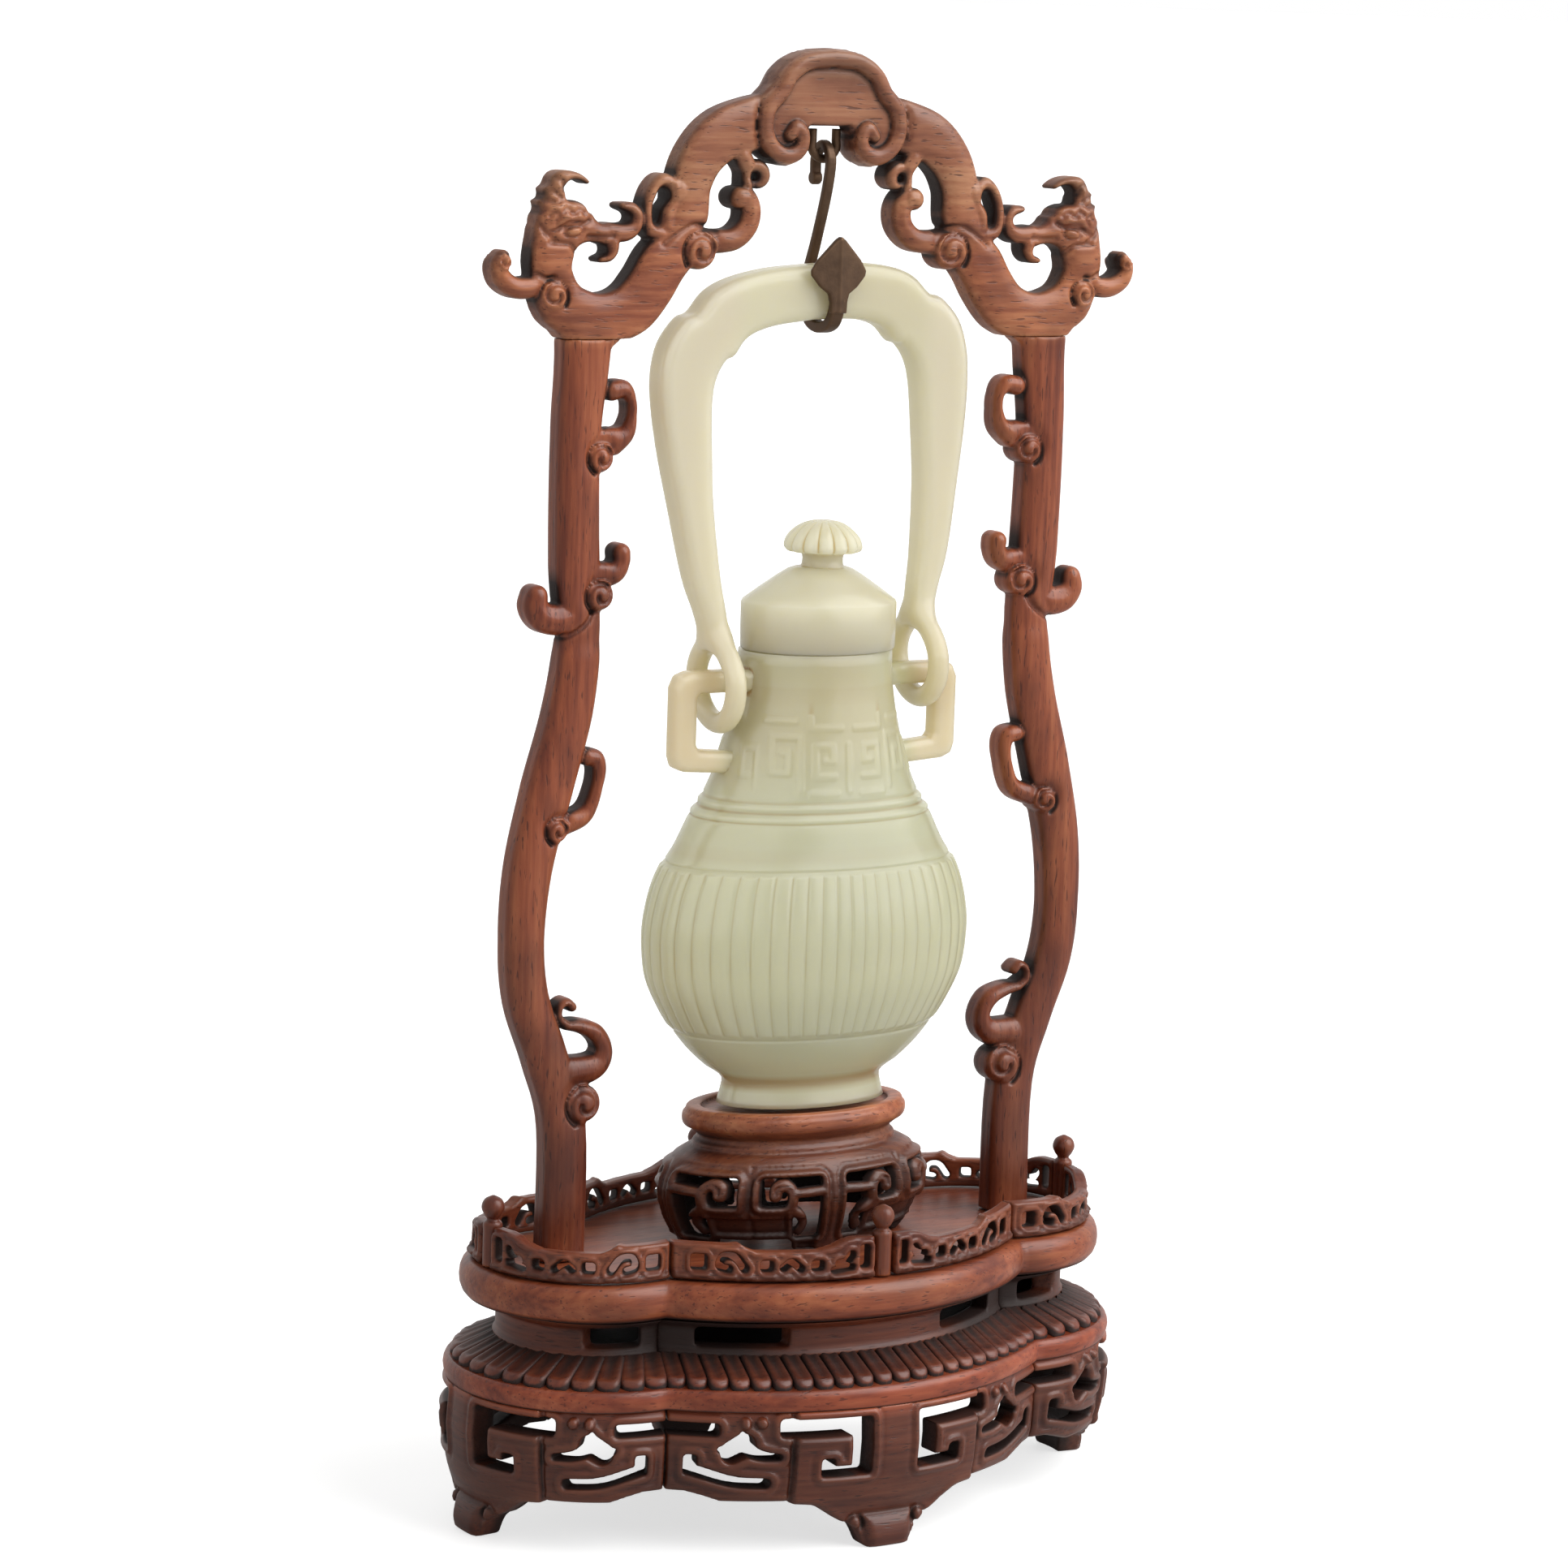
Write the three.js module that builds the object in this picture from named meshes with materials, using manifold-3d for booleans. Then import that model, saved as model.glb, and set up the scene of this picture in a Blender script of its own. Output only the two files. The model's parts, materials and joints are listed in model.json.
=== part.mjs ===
// A covered jade hanging vase on its carved rosewood stand, in millimetres with +Z up.
// X runs along the stand, -Y is the front, and the origin is on the floor under the middle.
import * as THREE from 'three';
import { mergeVertices } from 'three/addons/utils/BufferGeometryUtils.js';
import Module from 'manifold-3d';

const wasm = await Module();
wasm.setup();

// Levels of the tiers, from the floor up
const GAP = 0.3;
const APRON_TOP = 24.3;
const CAP_TOP = 31.3;
const WAIST_TOP = 38.2;
const TRAY_TOP = 45;
const STAND_TOP = 68.7;
const VASE_RIM = 146.4;
const UPRIGHT_TOP = 198.7;

// Four-lobed plans: reach of the end lobe, reach of the front lobe, and the cusp between them
const PLINTH_PLAN = lobedPlan(62.5, 38, 36.6, 24.9);
const TRAY_PLAN = lobedPlan(60.3, 35, 35.1, 21.3);
const GALLERY_PLAN = lobedPlan(58, 32, 33.6, 18.9);
const APRON_WALL = 4.6;
const PETALS_PER_LOBE = 18;
const GALLERY_WALL = 2.2;
const GALLERY_POST = 3.2;
const SEGMENTS_PER_LOBE = 6;

// Wooden frame
const UPRIGHT_THICK = 6;
const CREST_THICK = 6.2;
const RUYI_THICK = 7.6;

// Oval vase and the stand under it
const VASE_X = 1.8;
const VASE_STAND_X = 0.8;
const BELLY_DEPTH = 0.57;
const NECK_DEPTH = 0.76;
const RIBS = 50;
const RIB_RELIEF = 0.45;
const BAIL_THICK = 6.4;
const BAIL_TILT = THREE.MathUtils.degToRad(4);
const LOOP_WIRE = 1.8;
const HOOK_X = 0.8;

const WOOD = { color: '#7a4128', roughness: 0.42, metalness: 0 };
const JADE = { color: '#cfcfb2', roughness: 0.25, metalness: 0 };
const BRONZE = { color: '#46372c', roughness: 0.5, metalness: 0.8 };

const vec = (x, y) => new THREE.Vector2(x, y);
const toVectors = (pairs) => pairs.map(([x, y]) => vec(x, y));

// Solids: weld a geometry into a closed body, and turn a finished body back into a geometry
function solid(geometry) {
  const loose = geometry.clone();
  loose.deleteAttribute('normal');
  loose.deleteAttribute('uv');
  const welded = mergeVertices(loose, 1e-4);
  const corners = welded.index.array;
  const kept = [];
  for (let i = 0; i < corners.length; i += 3) {
    const [a, b, c] = corners.slice(i, i + 3);
    if (a !== b && b !== c && c !== a) kept.push(a, b, c);
  }
  const vertProperties = Float32Array.from(welded.attributes.position.array);
  return new wasm.Manifold(new wasm.Mesh({ numProp: 3, vertProperties, triVerts: Uint32Array.from(kept) }));
}

function geometryOf(body) {
  const mesh = body.getMesh();
  const geometry = new THREE.BufferGeometry();
  geometry.setAttribute('position', new THREE.BufferAttribute(mesh.vertProperties, 3));
  geometry.setIndex(new THREE.BufferAttribute(mesh.triVerts, 1));
  geometry.computeVertexNormals();
  return geometry;
}

const join = (geometries) => geometries.map(solid).reduce((whole, piece) => whole.add(piece));

const part = new THREE.Group();

function addPiece(name, body, finish) {
  const mesh = new THREE.Mesh(geometryOf(body), new THREE.MeshStandardMaterial(finish));
  mesh.name = name;
  part.add(mesh);
}

// A begonia-shaped plan of four arcs: end lobes on the X axis, front and back lobes on the Y axis
function lobedPlan(end, front, cuspX, cuspY) {
  const endRadius = ((end - cuspX) ** 2 + cuspY ** 2) / (2 * (end - cuspX));
  const frontRadius = ((front - cuspY) ** 2 + cuspX ** 2) / (2 * (front - cuspY));
  return { end, endRadius, endCentre: end - endRadius, frontRadius, frontCentre: front - frontRadius };
}

// One lobe's arc after the whole outline has been drawn in by `inset`
function lobeArc(plan, lobe, inset) {
  const endRadius = plan.endRadius - inset;
  const frontRadius = plan.frontRadius - inset;
  const apart = Math.hypot(plan.endCentre, plan.frontCentre);
  const along = (apart ** 2 + endRadius ** 2 - frontRadius ** 2) / (2 * apart);
  const across = Math.sqrt(endRadius ** 2 - along ** 2);
  const toFront = vec(-plan.endCentre / apart, plan.frontCentre / apart);
  const cusp = vec(
    plan.endCentre + along * toFront.x + across * toFront.y,
    along * toFront.y - across * toFront.x,
  );
  const isEnd = lobe % 2 === 0;
  const centre = isEnd ? plan.endCentre : plan.frontCentre;
  const half = isEnd
    ? Math.atan2(cusp.y, cusp.x - plan.endCentre)
    : Math.atan2(cusp.x, cusp.y - plan.frontCentre);
  return { centre, radius: isEnd ? endRadius : frontRadius, half, turn: (lobe * Math.PI) / 2 };
}

// A point at `angle` along a lobe's arc, pushed out by `out`
function arcPoint(arc, angle, out = 0) {
  const reach = arc.radius + out;
  const x = arc.centre + reach * Math.cos(angle);
  const y = reach * Math.sin(angle);
  return vec(x, y).rotateAround(vec(0, 0), arc.turn);
}

// A turned profile warped off its circle: `place` gets the angle, radius and height of each vertex.
// Rings that carry no carving share corners, so that only the carved ones have all the segments.
function warpedLathe(profile, segments, place, coarse = segments, isCarved = () => false) {
  const geometry = new THREE.LatheGeometry(toVectors(profile), segments);
  const position = geometry.attributes.position;
  const step = (Math.PI * 2) / coarse;
  for (let i = 0; i < position.count; i += 1) {
    const turn = Math.atan2(position.getX(i), position.getZ(i));
    const radius = Math.hypot(position.getX(i), position.getZ(i));
    const height = position.getY(i);
    const angle = isCarved(radius, height) ? turn : Math.round(turn / step - 1e-4) * step;
    const spot = place(angle, radius, height);
    position.setXYZ(i, spot.x, spot.y, spot.z);
  }
  return geometry;
}

// A turned body on a lobed plan; the profile is its section along the X axis
function lobedBody(plan, profile, perLobe, carving = null) {
  const place = (angle, radius, height) => {
    if (radius < 1e-3) return new THREE.Vector3(0, 0, height);
    const quarter = angle / (Math.PI / 2);
    const lobe = Math.round(quarter);
    const arc = lobeArc(plan, (lobe + 4) % 4, plan.end - radius);
    const spot = arcPoint(arc, 2 * (quarter - lobe) * arc.half);
    const isCut = carving && carving.isCarved(radius, height);
    const rise = isCut ? carving.relief * Math.cos(angle * carving.count * 4) : 0;
    return new THREE.Vector3(spot.x, spot.y, height + rise);
  };
  if (!carving) return warpedLathe(profile, perLobe * 4, place);
  return warpedLathe(profile, carving.count * 8, place, perLobe * 4, carving.isCarved);
}

// A flat shape in arc length and height, thickened from `inner` to `outer` and bent round a lobe
function bentPlate(outline, arc, inner, outer) {
  const shape = new THREE.Shape(toVectors(outline));
  const geometry = new THREE.ExtrudeGeometry(shape, { depth: outer - inner, bevelEnabled: false });
  const position = geometry.attributes.position;
  for (let i = 0; i < position.count; i += 1) {
    const spot = arcPoint(arc, position.getX(i) / arc.radius, inner + position.getZ(i));
    position.setXYZ(i, spot.x, spot.y, position.getY(i));
  }
  return geometry;
}

const mirrored = (pairs, side) => pairs.map(([x, y]) => [side * x, y]);

// A plate cut from a board that stands in the X-Z plane, centred on y
function board(outline, thick, y = 0, bevel = 0) {
  const shape = outline instanceof THREE.Shape ? outline : new THREE.Shape(toVectors(outline));
  const geometry = new THREE.ExtrudeGeometry(shape, {
    depth: thick - 2 * bevel,
    bevelEnabled: bevel > 0,
    bevelSize: bevel,
    bevelOffset: -bevel,
    bevelThickness: bevel,
    bevelSegments: 1,
  });
  geometry.rotateX(Math.PI / 2);
  geometry.translate(0, y + thick / 2 - bevel, 0);
  return geometry;
}

// The outline of a brush stroke: a spline through `spine` with a width at each of its points
function stroke(spine, widths, step) {
  const curve = new THREE.SplineCurve(toVectors(spine));
  const count = Math.max(4, Math.round(curve.getLength() / step));
  const left = [];
  const right = [];
  for (let i = 0; i <= count; i += 1) {
    const t = i / count;
    const along = t * (widths.length - 1);
    const first = Math.min(Math.floor(along), widths.length - 2);
    const half = THREE.MathUtils.lerp(widths[first], widths[first + 1], along - first) / 2;
    const middle = curve.getPoint(t);
    const heading = curve.getTangent(t);
    left.push([middle.x - heading.y * half, middle.y + heading.x * half]);
    right.unshift([middle.x + heading.y * half, middle.y - heading.x * half]);
  }
  const tip = curve.getPoint(1).addScaledVector(curve.getTangent(1), widths.at(-1) * 0.45);
  return [...left, [tip.x, tip.y], ...right];
}

// A round boss standing in the X-Z plane
function boss(x, z, radius, thick) {
  const geometry = new THREE.CylinderGeometry(radius, radius, thick, 6);
  geometry.translate(x, 0, z);
  return geometry;
}

// Plinth apron: four pierced boards, mitred at the cusps, each with a foot at its middle
const APRON_LOBES = ['right', 'back', 'left', 'front'];
const APRON_SECTION = [
  [1.2, 0], [2, 4.5], [0, 17], [1, APRON_TOP], [1 + APRON_WALL, APRON_TOP], [2 + APRON_WALL, 0], [1.2, 0],
].map(([inset, z]) => [PLINTH_PLAN.end - inset, z]);
const APRON_EDGE = [
  [4.2, -0.2], [6.9, 4.3], [14.4, 8.2], [30, 8.9], [44, 10.6],
];
const APRON_WINDOWS = [
  [[4.5, 13.3], [13.5, 13.3], [13.5, 16.3], [11.2, 16.3], [11.2, 15], [8.2, 15], [8.2, 20.2], [20.5, 20.2],
    [20.5, 23.2], [4.5, 23.2]],
  [[20.2, 16.8], [26.7, 20.8], [29.9, 18.4], [27.2, 15.4]],
  [[30.8, 20.3], [38, 20.3], [38, 22.5], [30, 22.5]],
  [[21.5, 11.4], [37, 12.4], [37, 16.6], [34.4, 16.6], [34.4, 13.8], [21.5, 13.4]],
];

// Everything beyond a wavy edge, out to a far level, as short plates that can follow a bend
function beyond(edge, far) {
  const lap = 0.05;
  return edge.slice(1).map(([t, z], i) => {
    const [t0, z0] = edge[i];
    return [[t0, z0], [t + lap, z], [t + lap, far], [t0, far]];
  });
}

// A wedge of plan between a lobe's mitre at one cusp and its middle, or its other mitre
function lobeWedge(plan, lobe, top, depth, halfSide = 0) {
  const inner = lobeArc(plan, lobe, depth);
  const outer = lobeArc(plan, lobe, 0);
  const near = arcPoint({ ...inner, turn: 0 }, inner.half - GAP / 2 / inner.radius);
  const cusp = arcPoint({ ...outer, turn: 0 }, outer.half - GAP / 2 / outer.radius);
  const far = cusp.clone().addScaledVector(cusp.clone().sub(near), 1);
  const clear = 2 * plan.end;
  const mitre = [[near.x, near.y], [far.x, far.y], [clear, clear / 2]];
  const middle = GALLERY_POST / 2 + GAP;
  const whole = [[8, 0], ...mitre, ...[...mitre].reverse().map(([x, y]) => [x, -y])];
  const half = [[8, middle], ...mitre, [clear, middle]].map(([x, y]) => [x, halfSide * y]);
  const outline = halfSide ? half : whole;
  const geometry = new THREE.ExtrudeGeometry(new THREE.Shape(toVectors(outline)), {
    depth: top + 2,
    bevelEnabled: false,
  });
  geometry.rotateZ(outer.turn);
  geometry.translate(0, 0, -1);
  return solid(geometry);
}

const apronRing = solid(lobedBody(PLINTH_PLAN, APRON_SECTION, SEGMENTS_PER_LOBE));
APRON_LOBES.forEach((name, lobe) => {
  const arc = lobeArc(PLINTH_PLAN, lobe, 0);
  let boardBody = apronRing.intersect(lobeWedge(PLINTH_PLAN, lobe, APRON_TOP, 12));
  for (const side of [1, -1]) {
    for (const window of [...APRON_WINDOWS, ...beyond(APRON_EDGE, -2)]) {
      boardBody = boardBody.subtract(solid(bentPlate(mirrored(window, side), arc, -10, 3)));
    }
  }
  addPiece(`apron_${name}`, boardBody, WOOD);
});

// Plinth cap: a plate with a plain lip and a sloping top carved with gadroon petals
const LIP_FOOT = APRON_TOP + GAP;
const LIP_TOP = 28.2;
const PETAL_RELIEF = 0.7;
const PETAL_RISE_IN = 7.5;
const lipEnd = PLINTH_PLAN.end;
const petalRing = lipEnd - 1.8;
const petals = {
  count: PETALS_PER_LOBE,
  relief: PETAL_RELIEF,
  isCarved: (radius) => Math.abs(radius - petalRing) < 0.1,
};
addPiece('plinth_cap', solid(lobedBody(PLINTH_PLAN, [
  [0, LIP_FOOT], [lipEnd - 0.7, LIP_FOOT], [lipEnd, LIP_FOOT + 1.3], [lipEnd - 0.1, LIP_TOP - 0.3],
  [lipEnd - 1, LIP_TOP], [petalRing, LIP_TOP + 0.9], [lipEnd - PETAL_RISE_IN, CAP_TOP], [0, CAP_TOP],
], SEGMENTS_PER_LOBE, petals)), WOOD);

// Waist: a ring drawn in under the tray, with an oblong slot on each side of every cusp
const WAIST_INSET = 8.4;
const waistArc = (lobe) => lobeArc(PLINTH_PLAN, lobe, WAIST_INSET);
const WAIST_SLOT = [[15, 33.3], [27, 33.3], [27, 36.7], [15, 36.7]];
const WAIST_FOOT = CAP_TOP + GAP;
const waistEnd = lipEnd - WAIST_INSET;
const WAIST_WALL = 4;
let waist = solid(lobedBody(PLINTH_PLAN, [
  [waistEnd, WAIST_FOOT], [waistEnd, WAIST_TOP], [waistEnd - WAIST_WALL, WAIST_TOP],
  [waistEnd - WAIST_WALL, WAIST_FOOT], [waistEnd, WAIST_FOOT],
], SEGMENTS_PER_LOBE));
for (let lobe = 0; lobe < 4; lobe += 1) {
  for (const side of [1, -1]) {
    const slot = lobe % 2 ? WAIST_SLOT : WAIST_SLOT.map(([t, z]) => [t * 0.78, z]);
    waist = waist.subtract(solid(bentPlate(mirrored(slot, side), waistArc(lobe), -6, 2)));
  }
}
addPiece('waist', waist, WOOD);

// Tray: a lobed board with a rounded edge
const trayEnd = TRAY_PLAN.end;
const trayBottom = WAIST_TOP + GAP;
addPiece('tray', solid(lobedBody(TRAY_PLAN, [
  [0, trayBottom], [trayEnd - 1.8, trayBottom], [trayEnd - 0.3, trayBottom + 1.6],
  [trayEnd, trayBottom + 3.2], [trayEnd - 0.5, TRAY_TOP - 1], [trayEnd - 1.6, TRAY_TOP], [0, TRAY_TOP],
], SEGMENTS_PER_LOBE)), WOOD);

// Gallery: a post with a ball at the middle of each lobe, and a fretted rail on each side of it
const RAIL_FOOT = TRAY_TOP + GAP;
const RAIL_LOW = 50.3;
const RAIL_HIGH = 52.2;
const RAIL_CUSP = 51.4;
const FRET_HOLES = [
  [[3.6, 47.2], [8.6, 47.2], [6.4, 50.6], [3.6, 50.6]],
  [[11.4, 47.2], [15, 47.2], [15, 48.9], [11.4, 48.9]],
  [[18, 47.2], [21.6, 47.2], [21.6, 48.9], [18, 48.9]],
  [[25, 47.2], [29, 47.2], [29, 49.8], [27, 49.8]],
];
const RAIL_EDGE = [
  [6.8, RAIL_HIGH + 0.01], [11, RAIL_LOW], [24, RAIL_LOW], [27, RAIL_CUSP], [40, RAIL_CUSP],
];
const galleryEnd = GALLERY_PLAN.end;
const galleryRing = solid(lobedBody(GALLERY_PLAN, [
  [galleryEnd, RAIL_FOOT], [galleryEnd, RAIL_HIGH], [galleryEnd - GALLERY_WALL, RAIL_HIGH],
  [galleryEnd - GALLERY_WALL, RAIL_FOOT], [galleryEnd, RAIL_FOOT],
], SEGMENTS_PER_LOBE));
for (let lobe = 0; lobe < 4; lobe += 1) {
  const arc = lobeArc(GALLERY_PLAN, lobe, 0);
  const place = APRON_LOBES[lobe];
  for (const [side, label] of [[1, 'a'], [-1, 'b']]) {
    let rail = galleryRing.intersect(lobeWedge(GALLERY_PLAN, lobe, RAIL_HIGH, 4, side));
    for (const cut of [...FRET_HOLES, ...beyond(RAIL_EDGE, RAIL_HIGH + 3)]) {
      rail = rail.subtract(solid(bentPlate(mirrored(cut, side), arc, -6, 4)));
    }
    addPiece(`gallery_${place}_${label}`, rail, WOOD);
  }
  const spot = arcPoint(arc, 0, -GALLERY_WALL / 2);
  const half = GALLERY_POST / 2;
  const post = new THREE.LatheGeometry(toVectors([
    [0, RAIL_FOOT], [half, RAIL_FOOT], [half, RAIL_HIGH + 0.6], [half * 0.55, RAIL_HIGH + 1.2],
    [half * 1.2, RAIL_HIGH + 2.6], [half * 1.1, RAIL_HIGH + 4.2], [0, RAIL_HIGH + 5.2],
  ]), 6);
  post.rotateX(Math.PI / 2);
  post.translate(spot.x, spot.y, 0);
  addPiece(`gallery_post_${place}`, solid(post), WOOD);
}

// Uprights: one sinuous board on each side with carved scroll hooks
const UPRIGHT_SPINE = [
  [44.3, RAIL_FOOT], [44.6, 68], [48.2, 80], [51.9, 90], [53, 100], [52.1, 112], [49, 125], [45.5, 138],
  [44.1, 150], [45, 162], [45.4, 182], [44.4, 194], [43.4, UPRIGHT_TOP],
];
const UPRIGHT_WIDTHS = [8.2, 7.9, 7.5, 7.4, 7.2, 7.8, 8.4, 8.2, 7.4, 8.1, 7.8, 8.8, 10.8];
const SCROLLS = [
  {
    spine: [[43.5, 183.5], [38.6, 183.8], [36, 187], [36.4, 190.3], [38.8, 191.9], [39.8, 190.9]],
    widths: [3, 2.4],
  },
  { spine: [[43, 160.5], [38, 160.6], [36.6, 162.3], [37.3, 164.3]], widths: [3, 2.6] },
  { spine: [[43.5, 155], [47, 152.8], [51, 153], [53.2, 155.5], [52.9, 158]], widths: [4, 2.6] },
  {
    spine: [[47.5, 118.6], [42.6, 119.8], [40.6, 123.5], [39.8, 128], [41, 130.5], [42.4, 129.8]],
    widths: [2.8, 2.2],
  },
  {
    spine: [
      [47, 77], [40.5, 77], [37.3, 79.5], [37.2, 82.8], [40, 84.6], [44, 84.6], [46, 86.3], [45.3, 88.8],
    ],
    widths: [4, 3, 1.8, 1.6],
  },
];
const UPRIGHT_BEADS = [[42, 180, 2.3], [41.5, 157.2, 2.6], [48, 118.2, 2.2], [41.6, 71.7, 3.2]];
for (const [side, name] of [[1, 'right'], [-1, 'left']]) {
  const flatEnds = stroke(UPRIGHT_SPINE, UPRIGHT_WIDTHS, 9).filter(([, z]) => z < UPRIGHT_TOP + 1);
  const outline = flatEnds.map(([x, z]) => [x, THREE.MathUtils.clamp(z, RAIL_FOOT, UPRIGHT_TOP)]);
  const shapes = [board(mirrored(outline, side), UPRIGHT_THICK)];
  for (const scroll of SCROLLS) {
    shapes.push(board(mirrored(stroke(scroll.spine, scroll.widths, 4.6), side), UPRIGHT_THICK - 0.6));
  }
  for (const [x, z, radius] of UPRIGHT_BEADS) {
    shapes.push(boss(side * x, z, radius, UPRIGHT_THICK + 1));
  }
  addPiece(`upright_${name}`, join(shapes), WOOD);
}

// Crest: an arch of two dragons back to back under a ruyi head, sawn and carved from one board
const CREST_FOOT = UPRIGHT_TOP + GAP;
const ARCH_SPINE = [
  [12, 234.6], [19.5, 232.4], [23.8, 228.8], [26, 224], [26.6, 218.5], [28, 213.2], [31.5, 208.8],
  [36.5, 204.6], [43, 202.9], [48.7, 205.3], [51.7, 210.5], [50.8, 216],
];
const ARCH_WIDTHS = [9, 8.8, 8, 7.2, 7.5, 8.2, 8.6, 8.4, 7.5, 7.6, 7.2, 8];
const DRAGON_HEAD = [
  [54.5, 208], [55.3, 212], [55, 216], [54.2, 220], [56, 222], [53, 224.8], [50, 226.3], [47.5, 225.8],
  [45.4, 223.5], [48.5, 224], [49.5, 222.8], [48, 221], [45.5, 218], [40, 217.8], [38.6, 220], [37, 220.8],
  [35.2, 219], [35, 216.5], [36.3, 215.3], [41, 213.9], [40.3, 212.5], [41.5, 211.3], [44, 212.5],
  [48, 211.5],
];
const CREST_STROKES = [
  { spine: [[53, 208], [57.5, 207.3], [60.5, 209.3], [60, 212]], widths: [3.4, 2.4] },
  { spine: [[28.5, 226], [32, 224.3], [33.7, 220.5], [33.2, 216.8], [30.5, 215]], widths: [2.6, 2.8] },
  {
    spine: [[24.5, 216], [20, 215.5], [15.5, 216.5], [13.8, 219.5], [14.8, 223.1], [17.8, 222.2]],
    widths: [3.6, 3.2],
  },
  { spine: [[12.4, 229.4], [13.6, 226.2], [14.6, 223]], widths: [3.4, 3.4] },
];
const CREST_BOSSES = [[25.1, 213, 3], [51.6, 206, 2.2], [49.5, 216.5, 1.4]];
const CREST_SOLE = [[37.6, CREST_FOOT], [48.8, CREST_FOOT], [50.2, 204], [38, 204]];
const RUYI_HALF = [
  [5, 246], [8, 244.8], [10.3, 242.5], [11.5, 240.3], [13.3, 238.9], [14.6, 235.5], [14.4, 232], [13, 229.2],
  [10.7, 227.5], [8, 227.2], [5.5, 228], [4.2, 230], [4.2, 232.3], [4.6, 233.8],
];
const RUYI_FIELD = [[4, 243], [7.2, 241.2], [9.2, 237.5], [8.5, 236], [5, 236.6]];
const crestShapes = [];
for (const side of [1, -1]) {
  const arch = stroke(ARCH_SPINE, ARCH_WIDTHS, 6.5).map(([x, z]) => [x, Math.max(z, CREST_FOOT)]);
  crestShapes.push(board(mirrored(arch, side), CREST_THICK));
  crestShapes.push(board(mirrored(CREST_SOLE, side), CREST_THICK));
  crestShapes.push(board(mirrored(DRAGON_HEAD, side), CREST_THICK - 0.4));
  for (const { spine, widths } of CREST_STROKES) {
    crestShapes.push(board(mirrored(stroke(spine, widths, 3.8), side), CREST_THICK - 0.8));
  }
  for (const [x, z, radius] of CREST_BOSSES) {
    crestShapes.push(boss(side * x, z, radius, CREST_THICK + 1));
  }
}
const wholeOutline = (half, top) => [[0, top], ...half, ...mirrored([...half].reverse(), -1)];
crestShapes.push(board(wholeOutline(RUYI_HALF, 246.7), RUYI_THICK));
let crest = join(crestShapes);
for (const face of [1, -1]) {
  const field = board(wholeOutline(RUYI_FIELD, 243.8), 1.6, face * (RUYI_THICK / 2));
  crest = crest.subtract(solid(field));
}
addPiece('crest', crest, WOOD);

// Vase stand: a small oval stand with a moulded rim and a bulging wall of pierced panels
function ovalBody(profile, segments, x, depthAt, carving = null) {
  const place = (angle, radius, height) => {
    const even = angle + 0.15 * Math.sin(2 * angle);
    const isCut = carving && carving.isCarved(radius, height);
    const reach = radius + (isCut ? carving.relief * Math.cos(angle * carving.count) : 0);
    return new THREE.Vector3(x + reach * Math.cos(even), reach * depthAt(height) * Math.sin(even), height);
  };
  if (!carving) return warpedLathe(profile, segments, place);
  return warpedLathe(profile, carving.count * 2, place, segments, carving.isCarved);
}

let vaseStand = solid(ovalBody([
  [0, 62], [15, 62], [21.6, 55], [18, RAIL_FOOT], [21.3, RAIL_FOOT], [25.5, 54.4], [23.6, 59.6], [18.4, 61.8],
  [18.4, 64], [21.1, 66.4], [20.6, STAND_TOP], [0, STAND_TOP],
], 16, VASE_STAND_X, () => BELLY_DEPTH));
const STAND_CUTS = [
  { x: 7, z: 54.4, wide: 7.2, high: 5.4 },
  { x: 15.2, z: 54.4, wide: 5.9, high: 5.4 },
  { x: 10.2, z: 46.6, wide: 13, high: 5 },
];
const CUT_DEEP = 30;
const CUT_Y = 19.4;
for (const side of [1, -1]) {
  for (const end of [1, -1]) {
    for (const { x, z, wide, high } of STAND_CUTS) {
      const cut = new THREE.BoxGeometry(wide, CUT_DEEP, high);
      cut.translate(VASE_STAND_X + end * x, side * CUT_Y, z);
      vaseStand = vaseStand.subtract(solid(cut));
    }
  }
}
addPiece('vase_stand', vaseStand, WOOD);

// Vase: an oval hollow body with a ribbed band, and two squared lugs on its neck
function vaseDepth(z) {
  const rounding = THREE.MathUtils.smoothstep(z, 106, 138);
  return THREE.MathUtils.lerp(BELLY_DEPTH, NECK_DEPTH, rounding);
}

const VASE_FOOT = STAND_TOP + GAP;
const BAND_FOOT = 82.2;
const BAND_TOP = 110.6;
const onBand = (radius, z) => radius > 27 && z > BAND_FOOT + 1 && z < BAND_TOP - 1;
const ribs = { count: RIBS, relief: RIB_RELIEF, isCarved: onBand };
const vaseBody = ovalBody([
  [0, VASE_FOOT], [15.8, VASE_FOOT], [14.8, 73.1], [18.6, 76], [24.5, BAND_FOOT], [28.7, 88.4], [30.3, 97.6],
  [29.3, 105], [27.6, BAND_TOP - 0.4], [26.7, BAND_TOP], [20.4, 121.2], [17, 128.6], [14.4, 138],
  [13.7, VASE_RIM], [10.4, VASE_RIM], [10.9, 137], [15.5, 123.5], [25.4, 105], [25, 91], [19, 80.5], [0, 76],
], RIBS / 2, VASE_X, vaseDepth, ribs);
const LUG_THICK = 4;
const LUG_OUTLINE = [
  [12.4, 143.5], [25, 143.5], [27.8, 140.8], [27.8, 129.2], [25.4, 126.6], [15.6, 125.9], [15.3, 129.6],
  [22.7, 130.3], [23.3, 131.1], [23.3, 139], [22.7, 139.7], [12.4, 139.7],
];
const lugs = [1, -1].map((side) => {
  const lug = board(mirrored(LUG_OUTLINE, side), LUG_THICK);
  lug.translate(VASE_X, 0, 0);
  return lug;
});
addPiece('vase', join([vaseBody, ...lugs]), JADE);

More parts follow.
